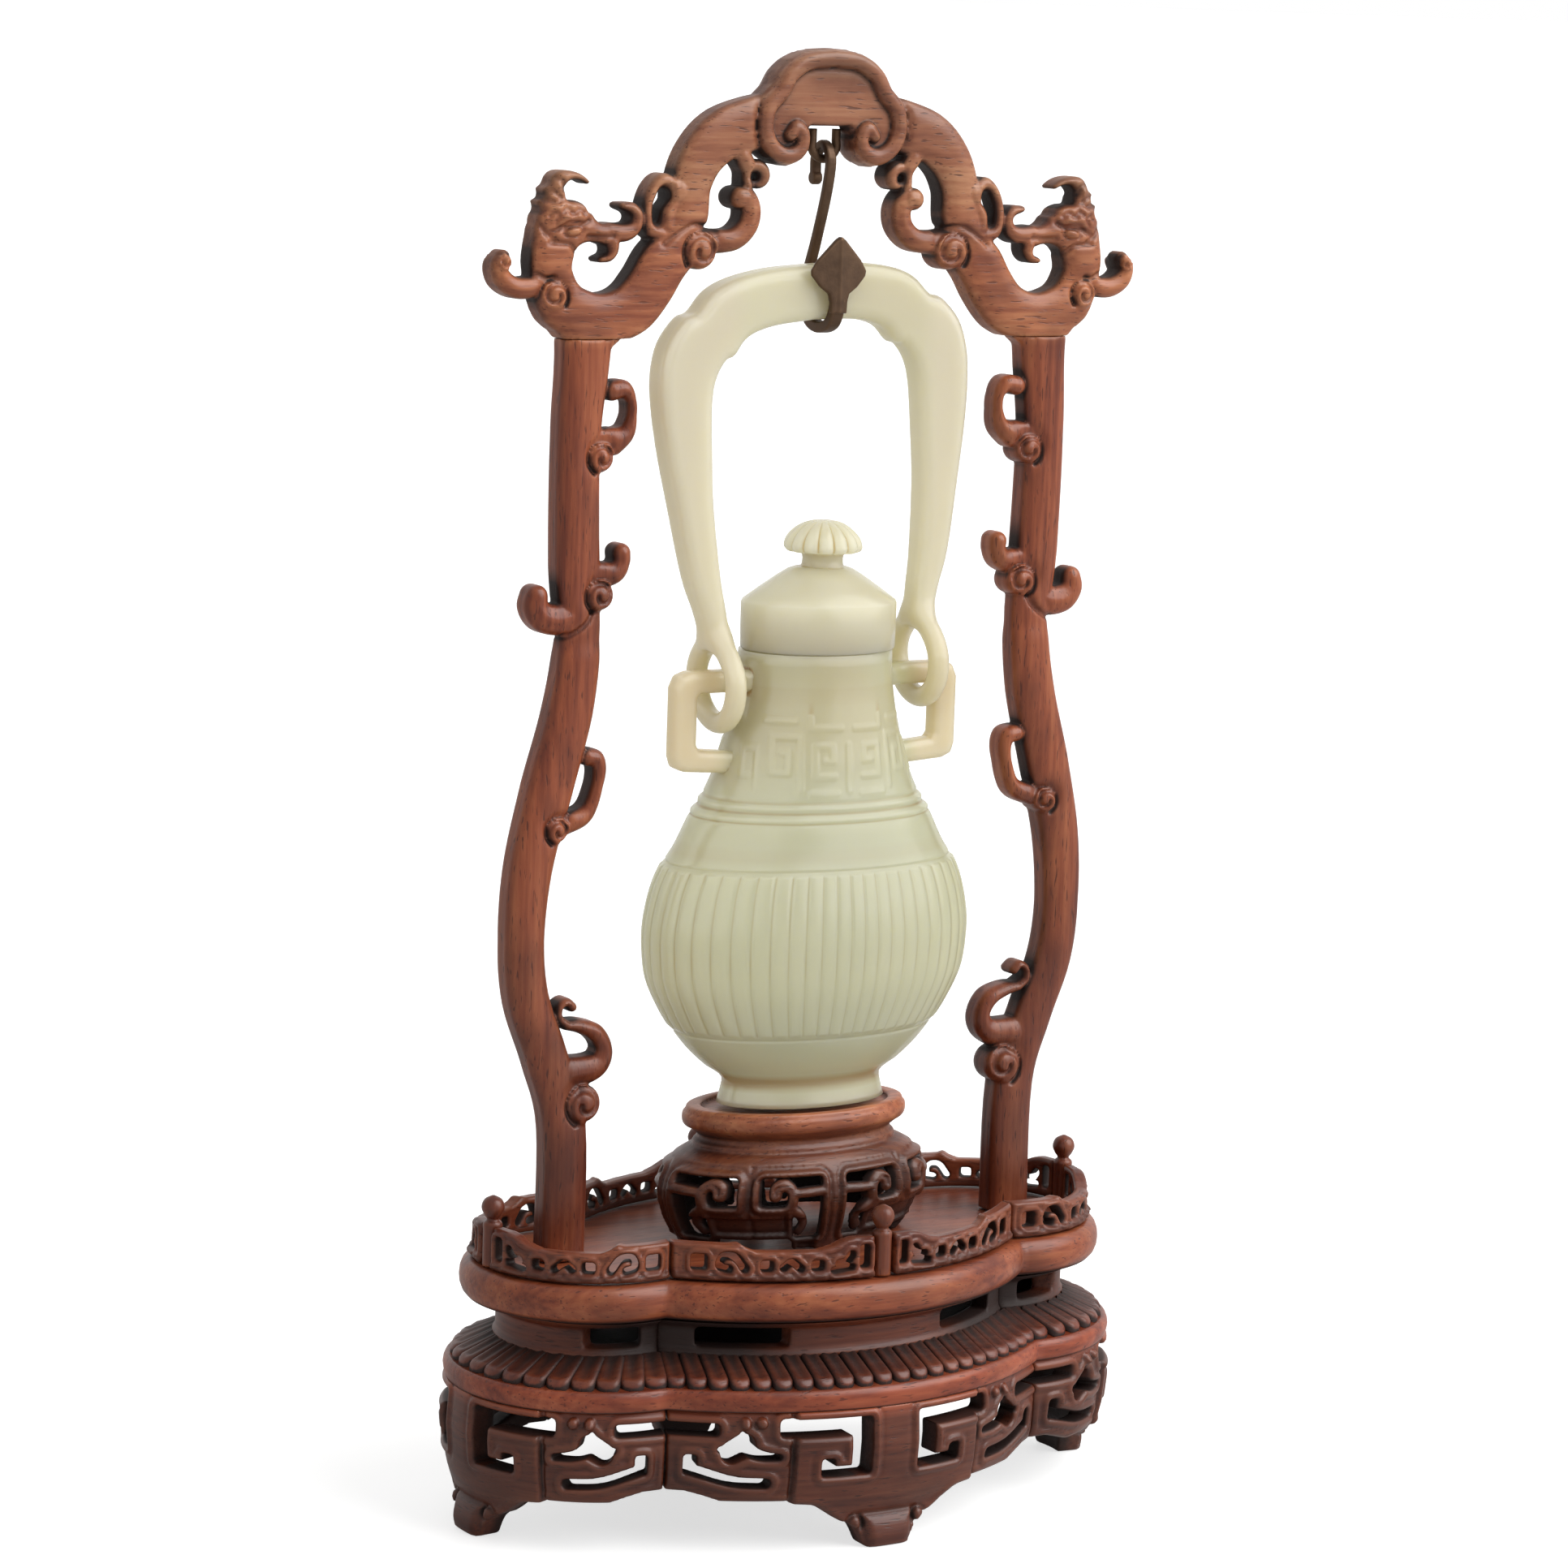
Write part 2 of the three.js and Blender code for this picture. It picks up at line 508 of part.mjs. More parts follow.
// Cover: a hipped lid with a fluted mushroom knob
const COVER_FOOT = VASE_RIM + GAP;
const KNOB_FLUTES = 14;
const coverBody = ovalBody([
  [0, 155], [10.4, 151.4], [10.4, COVER_FOOT], [13.8, COVER_FOOT], [13.9, 154.6], [5.6, 160], [0, 160.6],
], 16, VASE_X, () => NECK_DEPTH);
const isFluted = (radius) => radius > 4.8;
const knob = warpedLathe([
  [0, 159], [4, 159], [3.6, 162.6], [6.4, 163], [6.7, 164.2], [5, 167], [0, 168.2],
], KNOB_FLUTES * 2, (angle, radius, z) => {
  const reach = isFluted(radius) ? radius * (1 + 0.045 * Math.cos(angle * KNOB_FLUTES)) : radius;
  return new THREE.Vector3(VASE_X + 0.9 + reach * Math.cos(angle), reach * Math.sin(angle), z);
}, KNOB_FLUTES, isFluted);
addPiece('cover', join([coverBody, knob]), JADE);

// Bail: a thick shouldered handle that ends in two closed loops, each linked through a lug
const BAIL_OUTER = [
  [9, 59.3], [17, 57.6], [22.6, 53.2], [25, 52.3], [28.6, 48], [29.9, 41], [29, 30], [27.2, 20], [24.3, -1.4],
];
const BAIL_INNER = [
  [18.1, -1.4], [20.4, 20], [20.4, 32], [19.4, 41.5], [17.3, 44.8], [15.6, 45.5], [13, 48.3], [8, 49.8],
];
const LOOP_LENGTH = 17.6;
const LOOP_DEPTH = 6.6;
const LOOP_X = 19.9;
const bailHalf = [...BAIL_OUTER, ...BAIL_INNER];
const bailOutline = [[0, 59.5], ...bailHalf, [0, 50.3], ...mirrored([...bailHalf].reverse(), -1)];
const bailShapes = [board(bailOutline, BAIL_THICK, 0, 1.5)];
for (const side of [1, -1]) {
  const loop = new THREE.TorusGeometry(1, 0.25, 6, 12);
  const position = loop.attributes.position;
  const reach = (LOOP_LENGTH - 2 * LOOP_WIRE) / 2;
  for (let i = 0; i < position.count; i += 1) {
    const angle = Math.atan2(position.getY(i), position.getX(i));
    const out = (Math.hypot(position.getX(i), position.getY(i)) - 1) / 0.25 * LOOP_WIRE;
    const across = position.getZ(i) / 0.25 * LOOP_WIRE;
    const narrow = 1 - 0.28 * Math.max(0, Math.sin(angle)) ** 2;
    const y = Math.cos(angle) * (LOOP_DEPTH * narrow + out);
    const z = Math.sin(angle) * (reach + out) - reach - LOOP_WIRE;
    position.setXYZ(i, side * LOOP_X + across, y, z);
  }
  bailShapes.push(loop);
}
const bail = bailShapes.map((geometry) => {
  geometry.rotateY(-BAIL_TILT);
  geometry.translate(1.9, 0, 151.7);
  return geometry;
});
addPiece('bail', join(bail), JADE);

// Hook: a bent bronze strap with a leaf in front of the bail and a crook over the staple's bar
const STAPLE_Y = 1.2;
const STAPLE_BAR = 228.6;
const HOOK_SPINE = [
  [3.6, 225.4], [3.5, 228.8], [STAPLE_Y, 230.9], [-1.1, 228.6], [-0.2, 223], [2.6, 215], [4.7, 209.5],
  [4.8, 205], [3.4, 201.6], [0, 200.5], [-3.4, 201.6], [-4.8, 204.6], [-4.9, 208],
];
const HOOK_LEAF = [[0, 215.8], [3.2, 213], [5.4, 210], [4.4, 208], [1.6, 206.4], [1.6, 204], [0, 203.4]];
const STRAP_WIDE = 2.4;
const STRAP_THICK = 1.8;
const strapSection = new THREE.Shape(toVectors(stroke(HOOK_SPINE, [STRAP_THICK, STRAP_THICK], 2.6)));
const strap = new THREE.ExtrudeGeometry(strapSection, { depth: STRAP_WIDE, bevelEnabled: false });
strap.rotateX(Math.PI / 2);
strap.rotateZ(Math.PI / 2);
strap.translate(HOOK_X - STRAP_WIDE / 2, 0, 0);
const LEAF_THICK = 1.4;
const LEAF_Y = -4.9;
const leafOutline = [...HOOK_LEAF, ...mirrored(HOOK_LEAF.slice(1, -1).reverse(), -1)];
const leaf = board(leafOutline, LEAF_THICK, LEAF_Y);
leaf.translate(HOOK_X, 0, 0);
addPiece('hook', join([strap, leaf]), BRONZE);

// Staple: a bronze wire bent to a U under the crest
const STAPLE_HALF = 2.3;
const STAPLE_WIRE = 0.75;
const STAPLE_END = 233.4;
const wire = new THREE.Shape().absarc(0, 0, STAPLE_WIRE, 0, Math.PI * 2);
const staplePath = new THREE.CatmullRomCurve3([
  new THREE.Vector3(HOOK_X - STAPLE_HALF, STAPLE_Y, STAPLE_END),
  new THREE.Vector3(HOOK_X - STAPLE_HALF, STAPLE_Y, STAPLE_BAR + 1.4),
  new THREE.Vector3(HOOK_X - STAPLE_HALF + 1.3, STAPLE_Y, STAPLE_BAR),
  new THREE.Vector3(HOOK_X + STAPLE_HALF - 1.3, STAPLE_Y, STAPLE_BAR),
  new THREE.Vector3(HOOK_X + STAPLE_HALF, STAPLE_Y, STAPLE_BAR + 1.4),
  new THREE.Vector3(HOOK_X + STAPLE_HALF, STAPLE_Y, STAPLE_END),
]);
const staple = new THREE.ExtrudeGeometry(wire, { extrudePath: staplePath, steps: 8, curveSegments: 2 });
addPiece('staple', solid(staple), BRONZE);

export default part;
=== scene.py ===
# A covered jade hanging vase on its carved rosewood stand, built up from the feet to the crest.
# Sizes are in millimetres, and each finished mesh is in metres in the frame of the solids.
import json
import math

import bmesh
import bpy
import numpy as np
import openvdb
from mathutils import Matrix

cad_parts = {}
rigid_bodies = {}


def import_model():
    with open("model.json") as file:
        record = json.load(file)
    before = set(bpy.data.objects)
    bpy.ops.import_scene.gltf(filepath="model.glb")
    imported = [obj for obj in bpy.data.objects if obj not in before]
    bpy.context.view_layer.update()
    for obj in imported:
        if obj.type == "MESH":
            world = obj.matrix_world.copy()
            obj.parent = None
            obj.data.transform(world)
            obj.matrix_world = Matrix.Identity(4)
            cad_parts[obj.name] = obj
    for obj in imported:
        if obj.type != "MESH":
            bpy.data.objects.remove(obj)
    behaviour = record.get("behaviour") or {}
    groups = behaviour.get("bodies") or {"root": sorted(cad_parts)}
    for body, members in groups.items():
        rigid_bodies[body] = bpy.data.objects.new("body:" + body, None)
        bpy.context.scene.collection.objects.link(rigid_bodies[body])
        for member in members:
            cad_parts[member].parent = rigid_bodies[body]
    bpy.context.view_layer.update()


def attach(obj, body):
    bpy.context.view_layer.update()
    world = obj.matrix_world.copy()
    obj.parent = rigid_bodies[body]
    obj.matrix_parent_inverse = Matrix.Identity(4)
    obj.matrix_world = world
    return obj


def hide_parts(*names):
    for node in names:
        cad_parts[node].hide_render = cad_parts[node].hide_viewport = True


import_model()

# Plinth apron. Four fretted rosewood boards stand on their own feet under the cap, one to a lobe.
# Each is sawn through in squared scrolls, carved on its face and mitred to the next at the cusp.
MM = 0.001
LOBES = ("right", "back", "left", "front")
APRON_TOP = 24.5
APRON_WALL = 4.6
APRON_STEP = 0.36
MITRE_GAP = 0.15
# Carver's profile of the apron's face: height, and how far it stands in from the cap's outline
APRON_RISE = (0, 2.5, 4.6, 6.4, 9, 12.5, 18, 22.5, APRON_TOP)
APRON_INSET = (1.6, 1.8, 2.3, 2.2, 1.1, 0.3, -0.2, 0.1, 0.4)
APRON_FOOT_EDGE = [
    (-6, 0), (4.0, 0), (4.5, 0.4), (5.2, 2), (5.9, 3.3), (7, 4.2), (8.8, 4.8), (10.4, 5.7), (13.6, 7.8),
    (14.6, 8.2), (18, 8.5), (18.6, 8.9), (30, 8.9), (33, 9.8), (36, 10.5),
]
# Half of the fret: slots by two corners and their rounding, strokes by path and widths, here and below
APRON_SLOTS = [
    ((4.5, 13.3), (8.2, 23.2)), ((4.5, 20.2), (20.5, 23.2), 0.8), ((4.5, 13.3), (13.5, 15)),
    ((11.2, 13.3), (13.5, 16.4)), ((34.4, 13.6), (36.6, 17)),
]
APRON_STROKES = [
    ([(20.6, 16.8), (23.5, 17.1), (26, 18)], [1.0, 2.2]), ([(26.6, 18.8), (28.6, 17.6)], [4.0, 3.8]),
    ([(27, 19), (26.8, 20.8)], [3.0, 0.9]), ([(28.4, 18.2), (30.6, 18.1)], [2.4, 0.9]),
    ([(22.6, 12.2), (28, 12.5), (33, 13.8), (35.6, 14.5)], [1.7, 1.9]),
]
APRON_BEADS = [(23.7, 22.7), (26.5, 22.7)]
LEG_EDGE = 18
TINT_SPAN = 250.0


def lobed_plan(end, front, cusp_x, cusp_y):
    """Radii and centres of the arcs of a four-lobed outline, from its reach and one cusp."""
    end_radius = ((end - cusp_x) ** 2 + cusp_y ** 2) / (2 * (end - cusp_x))
    front_radius = ((front - cusp_y) ** 2 + cusp_x ** 2) / (2 * (front - cusp_y))
    return {
        "end_radius": end_radius,
        "end_centre": end - end_radius,
        "front_radius": front_radius,
        "front_centre": front - front_radius,
    }


def lobe_arc(plan, lobe, inset):
    """Centre, radius and half angle of one lobe once its outline is drawn in by an inset."""
    end_radius = plan["end_radius"] - inset
    front_radius = plan["front_radius"] - inset
    apart = math.hypot(plan["end_centre"], plan["front_centre"])
    toward = (-plan["end_centre"] / apart, plan["front_centre"] / apart)
    along = (apart ** 2 + end_radius ** 2 - front_radius ** 2) / (2 * apart)
    across = np.sqrt(end_radius ** 2 - along ** 2)
    cusp_x = plan["end_centre"] + along * toward[0] + across * toward[1]
    cusp_y = along * toward[1] - across * toward[0]
    if lobe % 2 == 0:
        return plan["end_centre"], end_radius, np.arctan2(cusp_y, cusp_x - plan["end_centre"])
    return plan["front_centre"], front_radius, np.arctan2(cusp_x, cusp_y - plan["front_centre"])


def on_lobe(plan, lobe, share, inset):
    """X and Y at a share of a lobe, from -1 at one cusp to 1 at the other."""
    centre, radius, half = lobe_arc(plan, lobe, inset)
    x = centre + radius * np.cos(share * half)
    y = radius * np.sin(share * half)
    turn = lobe * math.pi / 2
    return x * math.cos(turn) - y * math.sin(turn), x * math.sin(turn) + y * math.cos(turn)


def lobe_reach(plan, lobe, inset=0.0):
    """Length of a lobe from its middle to a cusp."""
    _, radius, half = lobe_arc(plan, lobe, inset)
    return float(radius * half)


def spline(points, per_span=8):
    """A smooth path through points, passing each of them."""
    p = np.asarray(points, float)
    p = np.concatenate([[2 * p[0] - p[1]], p, [2 * p[-1] - p[-2]]])
    t = np.linspace(0, 1, per_span, endpoint=False)[:, None]
    spans = [
        0.5 * (2 * b + (c - a) * t + (2 * a - 5 * b + 4 * c - d) * t ** 2 + (3 * b - a - 3 * c + d) * t ** 3)
        for a, b, c, d in zip(p, p[1:], p[2:], p[3:])
    ]
    return np.concatenate(spans + [p[-2:-1]])


def stroke_field(u, v, points, widths, per_span=6):
    """Distance outside a brush stroke that follows a smooth path and changes its width on the way."""
    path = spline(points, per_span) if len(points) > 2 else np.asarray(points, float)
    share = np.linspace(0, 1, len(path))
    half = np.interp(share, np.linspace(0, 1, len(widths)), widths) / 2
    field = np.full(u.shape, 1e3)
    for (x0, y0), (x1, y1), h0, h1 in zip(path, path[1:], half, half[1:]):
        dx, dy = x1 - x0, y1 - y0
        t = np.clip(((u - x0) * dx + (v - y0) * dy) / max(dx * dx + dy * dy, 1e-9), 0, 1)
        field = np.minimum(field, np.hypot(u - x0 - t * dx, v - y0 - t * dy) - h0 - t * (h1 - h0))
    return field


def outline_field(u, v, points):
    """Distance outside a closed outline, negative within it."""
    field = np.full(u.shape, 1e3)
    inside = np.zeros(u.shape, bool)
    for (x0, y0), (x1, y1) in zip(points, points[1:] + points[:1]):
        dx, dy = x1 - x0, y1 - y0
        t = np.clip(((u - x0) * dx + (v - y0) * dy) / max(dx * dx + dy * dy, 1e-9), 0, 1)
        field = np.minimum(field, np.hypot(u - x0 - t * dx, v - y0 - t * dy))
        if dy:
            inside ^= ((y0 > v) != (y1 > v)) & (u < x0 + (v - y0) * dx / dy)
    return np.where(inside, -field, field)


def slot_field(u, v, low, high, corner=0.5):
    """Distance outside a slot with rounded corners."""
    du = np.abs(u - (low[0] + high[0]) / 2) - (high[0] - low[0]) / 2 + corner
    dv = np.abs(v - (low[1] + high[1]) / 2) - (high[1] - low[1]) / 2 + corner
    return np.minimum(np.maximum(du, dv), 0) + np.hypot(np.maximum(du, 0), np.maximum(dv, 0)) - corner


def fret_field(u, v, slots, strokes):
    """Distance outside the nearest of a fret's slots and strokes."""
    cuts = [slot_field(u, v, *slot) for slot in slots] + [stroke_field(u, v, *stroke) for stroke in strokes]
    return np.minimum.reduce(cuts)


def ridge(distance, width):
    """A rounded ridge, one high, where a distance is nought."""
    return np.exp(-((distance / width) ** 2))


def boss(square):
    """A round boss, one high in its middle and level where the squared distance from there reaches one."""
    return np.sqrt(np.maximum(1 - square, 0))


def ramp(value, start, end):
    """A smooth step from 0 to 1 as a value goes from start to end."""
    t = np.clip((value - start) / (end - start), 0, 1)
    return t * t * (3 - 2 * t)


def soft_corner(side, face, radius):
    """Distance outside the corner of two faces, with the arris taken off to a radius."""
    a, b = side + radius, face + radius
    return np.minimum(np.maximum(a, b), 0) + np.hypot(np.maximum(a, 0), np.maximum(b, 0)) - radius


def sample(field, at, step):
    """Distances at places between the points of a block, or beyond its faces."""
    top = np.array(field.shape) - 1.001
    held = np.clip(at, 0, top)
    low = held.astype(int)
    share = held - low
    total = np.zeros(len(at))
    for corner in range(8):
        pick = np.array([corner >> 2 & 1, corner >> 1 & 1, corner & 1])
        weight = np.where(pick, share, 1 - share).prod(axis=1)
        total += weight * field[tuple((low + pick).T)]
    return total + step * np.linalg.norm(at - held, axis=1)


def surface(field, low, step):
    """Points and quads of the skin where a block of distances passes nought, and how shut in it lies.

    The last is 0 on an open face and nears 1 in a deep cut, from the distances 0.6 to 4.8 mm off it.
    """
    block = openvdb.FloatGrid(1.0)
    block.copyFromArray(np.ascontiguousarray(field, np.float32))
    points, quads = block.convertToQuads(0.0)
    at = points.astype(float)
    slope = np.stack([sample(field, at + d, step) - sample(field, at - d, step) for d in np.eye(3)], axis=1)
    slope /= np.maximum(np.linalg.norm(slope, axis=1), 1e-6)[:, None]
    shut = np.zeros(len(at))
    for off in (0.6, 1.2, 2.4, 4.8):
        shut += 0.25 * np.clip(1 - sample(field, at + slope * off / step, step) / off, 0, 1)
    return at * step + np.asarray(low, float), quads, shut


def board_block(low, high, step, design, radius):
    """Distances outside a carved board, sampled along, up and deep, and sawn off square at both ends.

    The design gives the distance outside the sawn outline, and the depth of the front and back face.
    """
    along, up, deep = (np.arange(a - 2 * step, b + 2 * step, step) for a, b in zip(low, high))
    u, v = np.meshgrid(along, up, indexing="ij")
    side, front, back = design(u, v)
    face = np.maximum(front[:, :, None] - deep, deep - back[:, :, None])
    ends = np.maximum(low[1] - v, v - high[1])[:, :, None]
    return np.maximum(soft_corner(side[:, :, None], face, radius), ends), (along[0], up[0], deep[0])


def carved_board(low, high, step, design, radius):
    """Points (along, up, deep) and quads of a carved board, and how shut in each point lies."""
    block, corner = board_block(low, high, step, design, radius)
    return surface(block, corner, step)


def store(mesh, name, values):
    """Keeps a number or a vector for each point of a mesh."""
    values = np.asarray(values, np.float32)
    kind, part = ("FLOAT_VECTOR", "vector") if values.ndim > 1 else ("FLOAT", "value")
    mesh.attributes.new(name, kind, "POINT").data.foreach_set(part, values.ravel())


def in_scene(name, data):
    """A new object in the scene that holds a mesh, a light or a camera."""
    made = bpy.data.objects.new(name, data)
    bpy.context.scene.collection.objects.link(made)
    return made


def add_piece(name, points, faces, grain=None, shut=0.0):
    """A smooth mesh object from points in millimetres, with each point's place in its board."""
    mesh = bpy.data.meshes.new(name)
    mesh.from_pydata((points * MM).tolist(), [], faces.tolist() if isinstance(faces, np.ndarray) else faces)
    shape = bmesh.new()
    shape.from_mesh(mesh)
    if shape.calc_volume(signed=True) < 0:
        mesh.flip_normals()
    shape.free()
    mesh.shade_smooth()
    store(mesh, "grain", points if grain is None else grain)
    store(mesh, "shut_in", np.broadcast_to(shut, len(points)))
    return in_scene(name, mesh)


def note_hollows(piece, rounds):
    """Stores how far each point lies below its smoothed surroundings, in millimetres, as `hollow`."""
    mesh = piece.data
    count = len(mesh.vertices)
    places = np.empty(count * 3, np.float32)
    mesh.vertices.foreach_get("co", places)
    places = places.reshape(-1, 3) / MM
    normals = np.empty(count * 3, np.float32)
    mesh.vertex_normals.foreach_get("vector", normals)
    ends = np.empty(len(mesh.edges) * 2, np.int32)
    mesh.edges.foreach_get("vertices", ends)
    a, b = ends.reshape(-1, 2).T
    degree = np.maximum(np.bincount(a, minlength=count) + np.bincount(b, minlength=count), 1)
    smooth = places.astype(float)
    for _ in range(rounds):
        sums = [np.bincount(a, smooth[b, k], count) + np.bincount(b, smooth[a, k], count) for k in range(3)]
        smooth = 0.5 * smooth + 0.5 * np.stack(sums, axis=1) / degree[:, None]
    depth = ((smooth - places) * normals.reshape(-1, 3)).sum(axis=1)
    store(mesh, "hollow", depth)


def linear(code):
    """Linear colour of an sRGB hex code."""
    parts = [int(code[i:i + 2], 16) / 255 for i in (1, 3, 5)]
    return (*[c / 12.92 if c <= 0.04045 else ((c + 0.055) / 1.055) ** 2.4 for c in parts], 1.0)


def add_node(tree, kind, inputs=None, **settings):
    """Adds a node, sets it up, and fills or links its inputs."""
    made = tree.nodes.new(kind)
    for name, value in settings.items():
        setattr(made, name, value)
    for key, value in (inputs or {}).items():
        if isinstance(value, bpy.types.NodeSocket):
            tree.links.new(value, made.inputs[key])
        else:
            made.inputs[key].default_value = value
    return made


def new_finish(name):
    """A new material, with its node tree and its shader."""
    material = bpy.data.materials.new(name)
    material.use_nodes = True
    return material, material.node_tree, material.node_tree.nodes["Principled BSDF"]


def rosewood_finish(name, tone_and_light_marks):
    """Waxed rosewood: red-brown streaks, short dark pores along the grain, and the carving darkened
    by grime and painted shade, with raised edges lightened by wear and a painted highlight.

    The marks give a tint by height at shares of a 250 mm span, from the floor up: partly the wood's
    own tone, partly painted light and shade.
    """
    material, tree, shader = new_finish(name)
    place = add_node(tree, "ShaderNodeAttribute", attribute_name="grain").outputs["Vector"]
    hollow = add_node(tree, "ShaderNodeAttribute", attribute_name="hollow").outputs["Fac"]
    # Growth bands some 6 mm wide, streaks of about 1 mm, pores of 0.4 by 3 mm,
    # and old wax in patches of 8 by 17 mm
    band, streak, pore, patch = (
        add_node(tree, "ShaderNodeTexNoise", {
            "Vector": add_node(tree, "ShaderNodeMapping", {"Vector": place, "Scale": per_mm}).outputs[0],
            "Scale": 1.0,
            "Detail": detail,
        }).outputs[0]
        for per_mm, detail in (
            ((0.012, 0.16, 0.16), 3.0), ((0.06, 1.0, 1.0), 4.0), ((0.35, 2.6, 2.6), 1.0),
            ((0.06, 0.12, 0.12), 5.0),
        )
    )
    figure = add_node(tree, "ShaderNodeMix", {0: 0.45, 2: band, 3: streak})
    tone = add_node(tree, "ShaderNodeValToRGB", {"Fac": figure.outputs[0]})
    stops = tone.color_ramp.elements
    stops[0].position, stops[0].color = 0.36, linear("#84462e")
    stops[1].position, stops[1].color = 0.65, linear("#c98a63")
    stops.new(0.5).color = linear("#ad6a49")
    open_pore = add_node(tree, "ShaderNodeMapRange", {0: pore, 1: 0.63, 2: 0.72, 4: 0.8})
    old_wax = add_node(tree, "ShaderNodeMapRange", {0: patch, 1: 0.46, 2: 0.66, 4: 0.5})
    # Raised edges are lightened, partly as handling wear and partly as a painted highlight
    lightened_edge = add_node(tree, "ShaderNodeMapRange", {0: hollow, 1: -0.03, 2: -0.3, 4: 0.5})
    colour = tone.outputs[0]
    for share, tint in ((open_pore, "#5c3020"), (old_wax, "#5a2c1c"), (lightened_edge, "#d09468")):
        colour = add_node(
            tree, "ShaderNodeMix", {0: share.outputs[0], 6: colour, 7: linear(tint)}, data_type="RGBA"
        ).outputs[2]
    # A tint by height is multiplied in: partly the wood's own tone, partly painted light and shade
    height = add_node(tree, "ShaderNodeTexCoord").outputs["Object"]
    height = add_node(tree, "ShaderNodeSeparateXYZ", {0: height}).outputs["Z"]
    level = add_node(tree, "ShaderNodeMapRange", {0: height, 1: 0.0, 2: TINT_SPAN * MM})
    tone_and_light = add_node(tree, "ShaderNodeValToRGB", {"Fac": level.outputs[0]})
    for mark in tone_and_light_marks[1:-1]:
        tone_and_light.color_ramp.elements.new(mark[0])
    for stop, (position, tint) in zip(tone_and_light.color_ramp.elements, tone_and_light_marks):
        stop.position, stop.color = position, linear(tint)
    toned_and_lit = add_node(
        tree, "ShaderNodeMix", {0: 1.0, 6: colour, 7: tone_and_light.outputs[0]},
        data_type="RGBA", blend_type="MULTIPLY",
    )
    # Fine grooves darken with grime, old wax and painted shade; shut-in recesses darken with painted shade
    in_groove = add_node(tree, "ShaderNodeMapRange", {0: hollow, 1: 0.02, 2: 0.26, 4: 0.78})
    shut_in = add_node(tree, "ShaderNodeAttribute", attribute_name="shut_in").outputs["Fac"]
    shade_in_cut = add_node(tree, "ShaderNodeMapRange", {0: shut_in, 1: 0.08, 2: 0.5, 4: 0.95})
    dirt_and_shade = add_node(
        tree, "ShaderNodeMath", {0: in_groove.outputs[0], 1: shade_in_cut.outputs[0]}, operation="MAXIMUM"
    )
    soiled_and_shaded = add_node(
        tree, "ShaderNodeMix", {0: dirt_and_shade.outputs[0], 6: toned_and_lit.outputs[2], 7: linear("#1c0e0a")},
        data_type="RGBA",
    )
    tree.links.new(soiled_and_shaded.outputs[2], shader.inputs["Base Color"])
    dull = add_node(tree, "ShaderNodeMapRange", {0: dirt_and_shade.outputs[0], 3: 0.36, 4: 0.65})
    tree.links.new(dull.outputs[0], shader.inputs["Roughness"])
    dips = add_node(tree, "ShaderNodeMath", {0: open_pore.outputs[0], 1: -0.6}, operation="MULTIPLY")
    relief = add_node(tree, "ShaderNodeMath", {0: streak, 1: dips.outputs[0]}, operation="ADD")
    bump = add_node(
        tree, "ShaderNodeBump", {"Height": relief.outputs[0], "Strength": 0.3, "Distance": 0.0002}
    )
    tree.links.new(bump.outputs[0], shader.inputs["Normal"])
    shader.inputs["Specular IOR Level"].default_value = 0.4
    return material


def fit(piece, material, slot, *nodes):
    """Gives a piece its finish and puts it in the place of its solids."""
    piece.data.materials.append(material)
    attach(piece, "root")
    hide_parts(*nodes)


def apron_design(along, up, reach):
    """Sawn outline and carved faces of one apron board, the same on both sides of its foot."""
    a = np.abs(along)
    board = outline_field(
        a, up, APRON_FOOT_EDGE + [(reach, 10.5), (reach, APRON_TOP + 2), (-6, APRON_TOP + 2)]
    )
    to_cusp = ((30.6, 20.3), (reach + 4, 22.4), 0.8)
    fret = fret_field(a, up, APRON_SLOTS + [to_cusp], APRON_STROKES)
    front = 0.8 * ramp(a, LEG_EDGE - 0.3, LEG_EDGE + 0.3) + 0.5 * ridge(a - LEG_EDGE - 0.4, 0.35)
    front -= 0.4 * ridge(fret - 0.8, 0.5)
    front += 0.12 * ridge(fret - 1.8, 0.4)
    front -= 0.3 * ridge(board + 0.8, 0.5) * ramp(a, 8, 10) * ramp(up, 18, 14)
    for x, z in APRON_BEADS:
        front -= boss((a - x) ** 2 + (up - z) ** 2)
    toe = np.maximum(a - 4.0 - 0.17 * up, up - 5.5)
    front -= 0.9 * np.sqrt(np.clip(-toe / 1.3, 0, 1)) * np.clip(0.45 + up / 3, 0, 1)
    front += 0.35 * ridge(toe - 0.3, 0.35) * ramp(a, 9, 7)
    nub = np.hypot(a - 6.3, up - 4.4)
    front -= 0.7 * boss((nub / 1.15) ** 2) - 0.4 * ridge(nub - 1.4, 0.35)
    return np.maximum(board, -fret), front, np.full(a.shape, APRON_WALL)


PLINTH_PLAN = lobed_plan(62.5, 38, 36.6, 24.9)
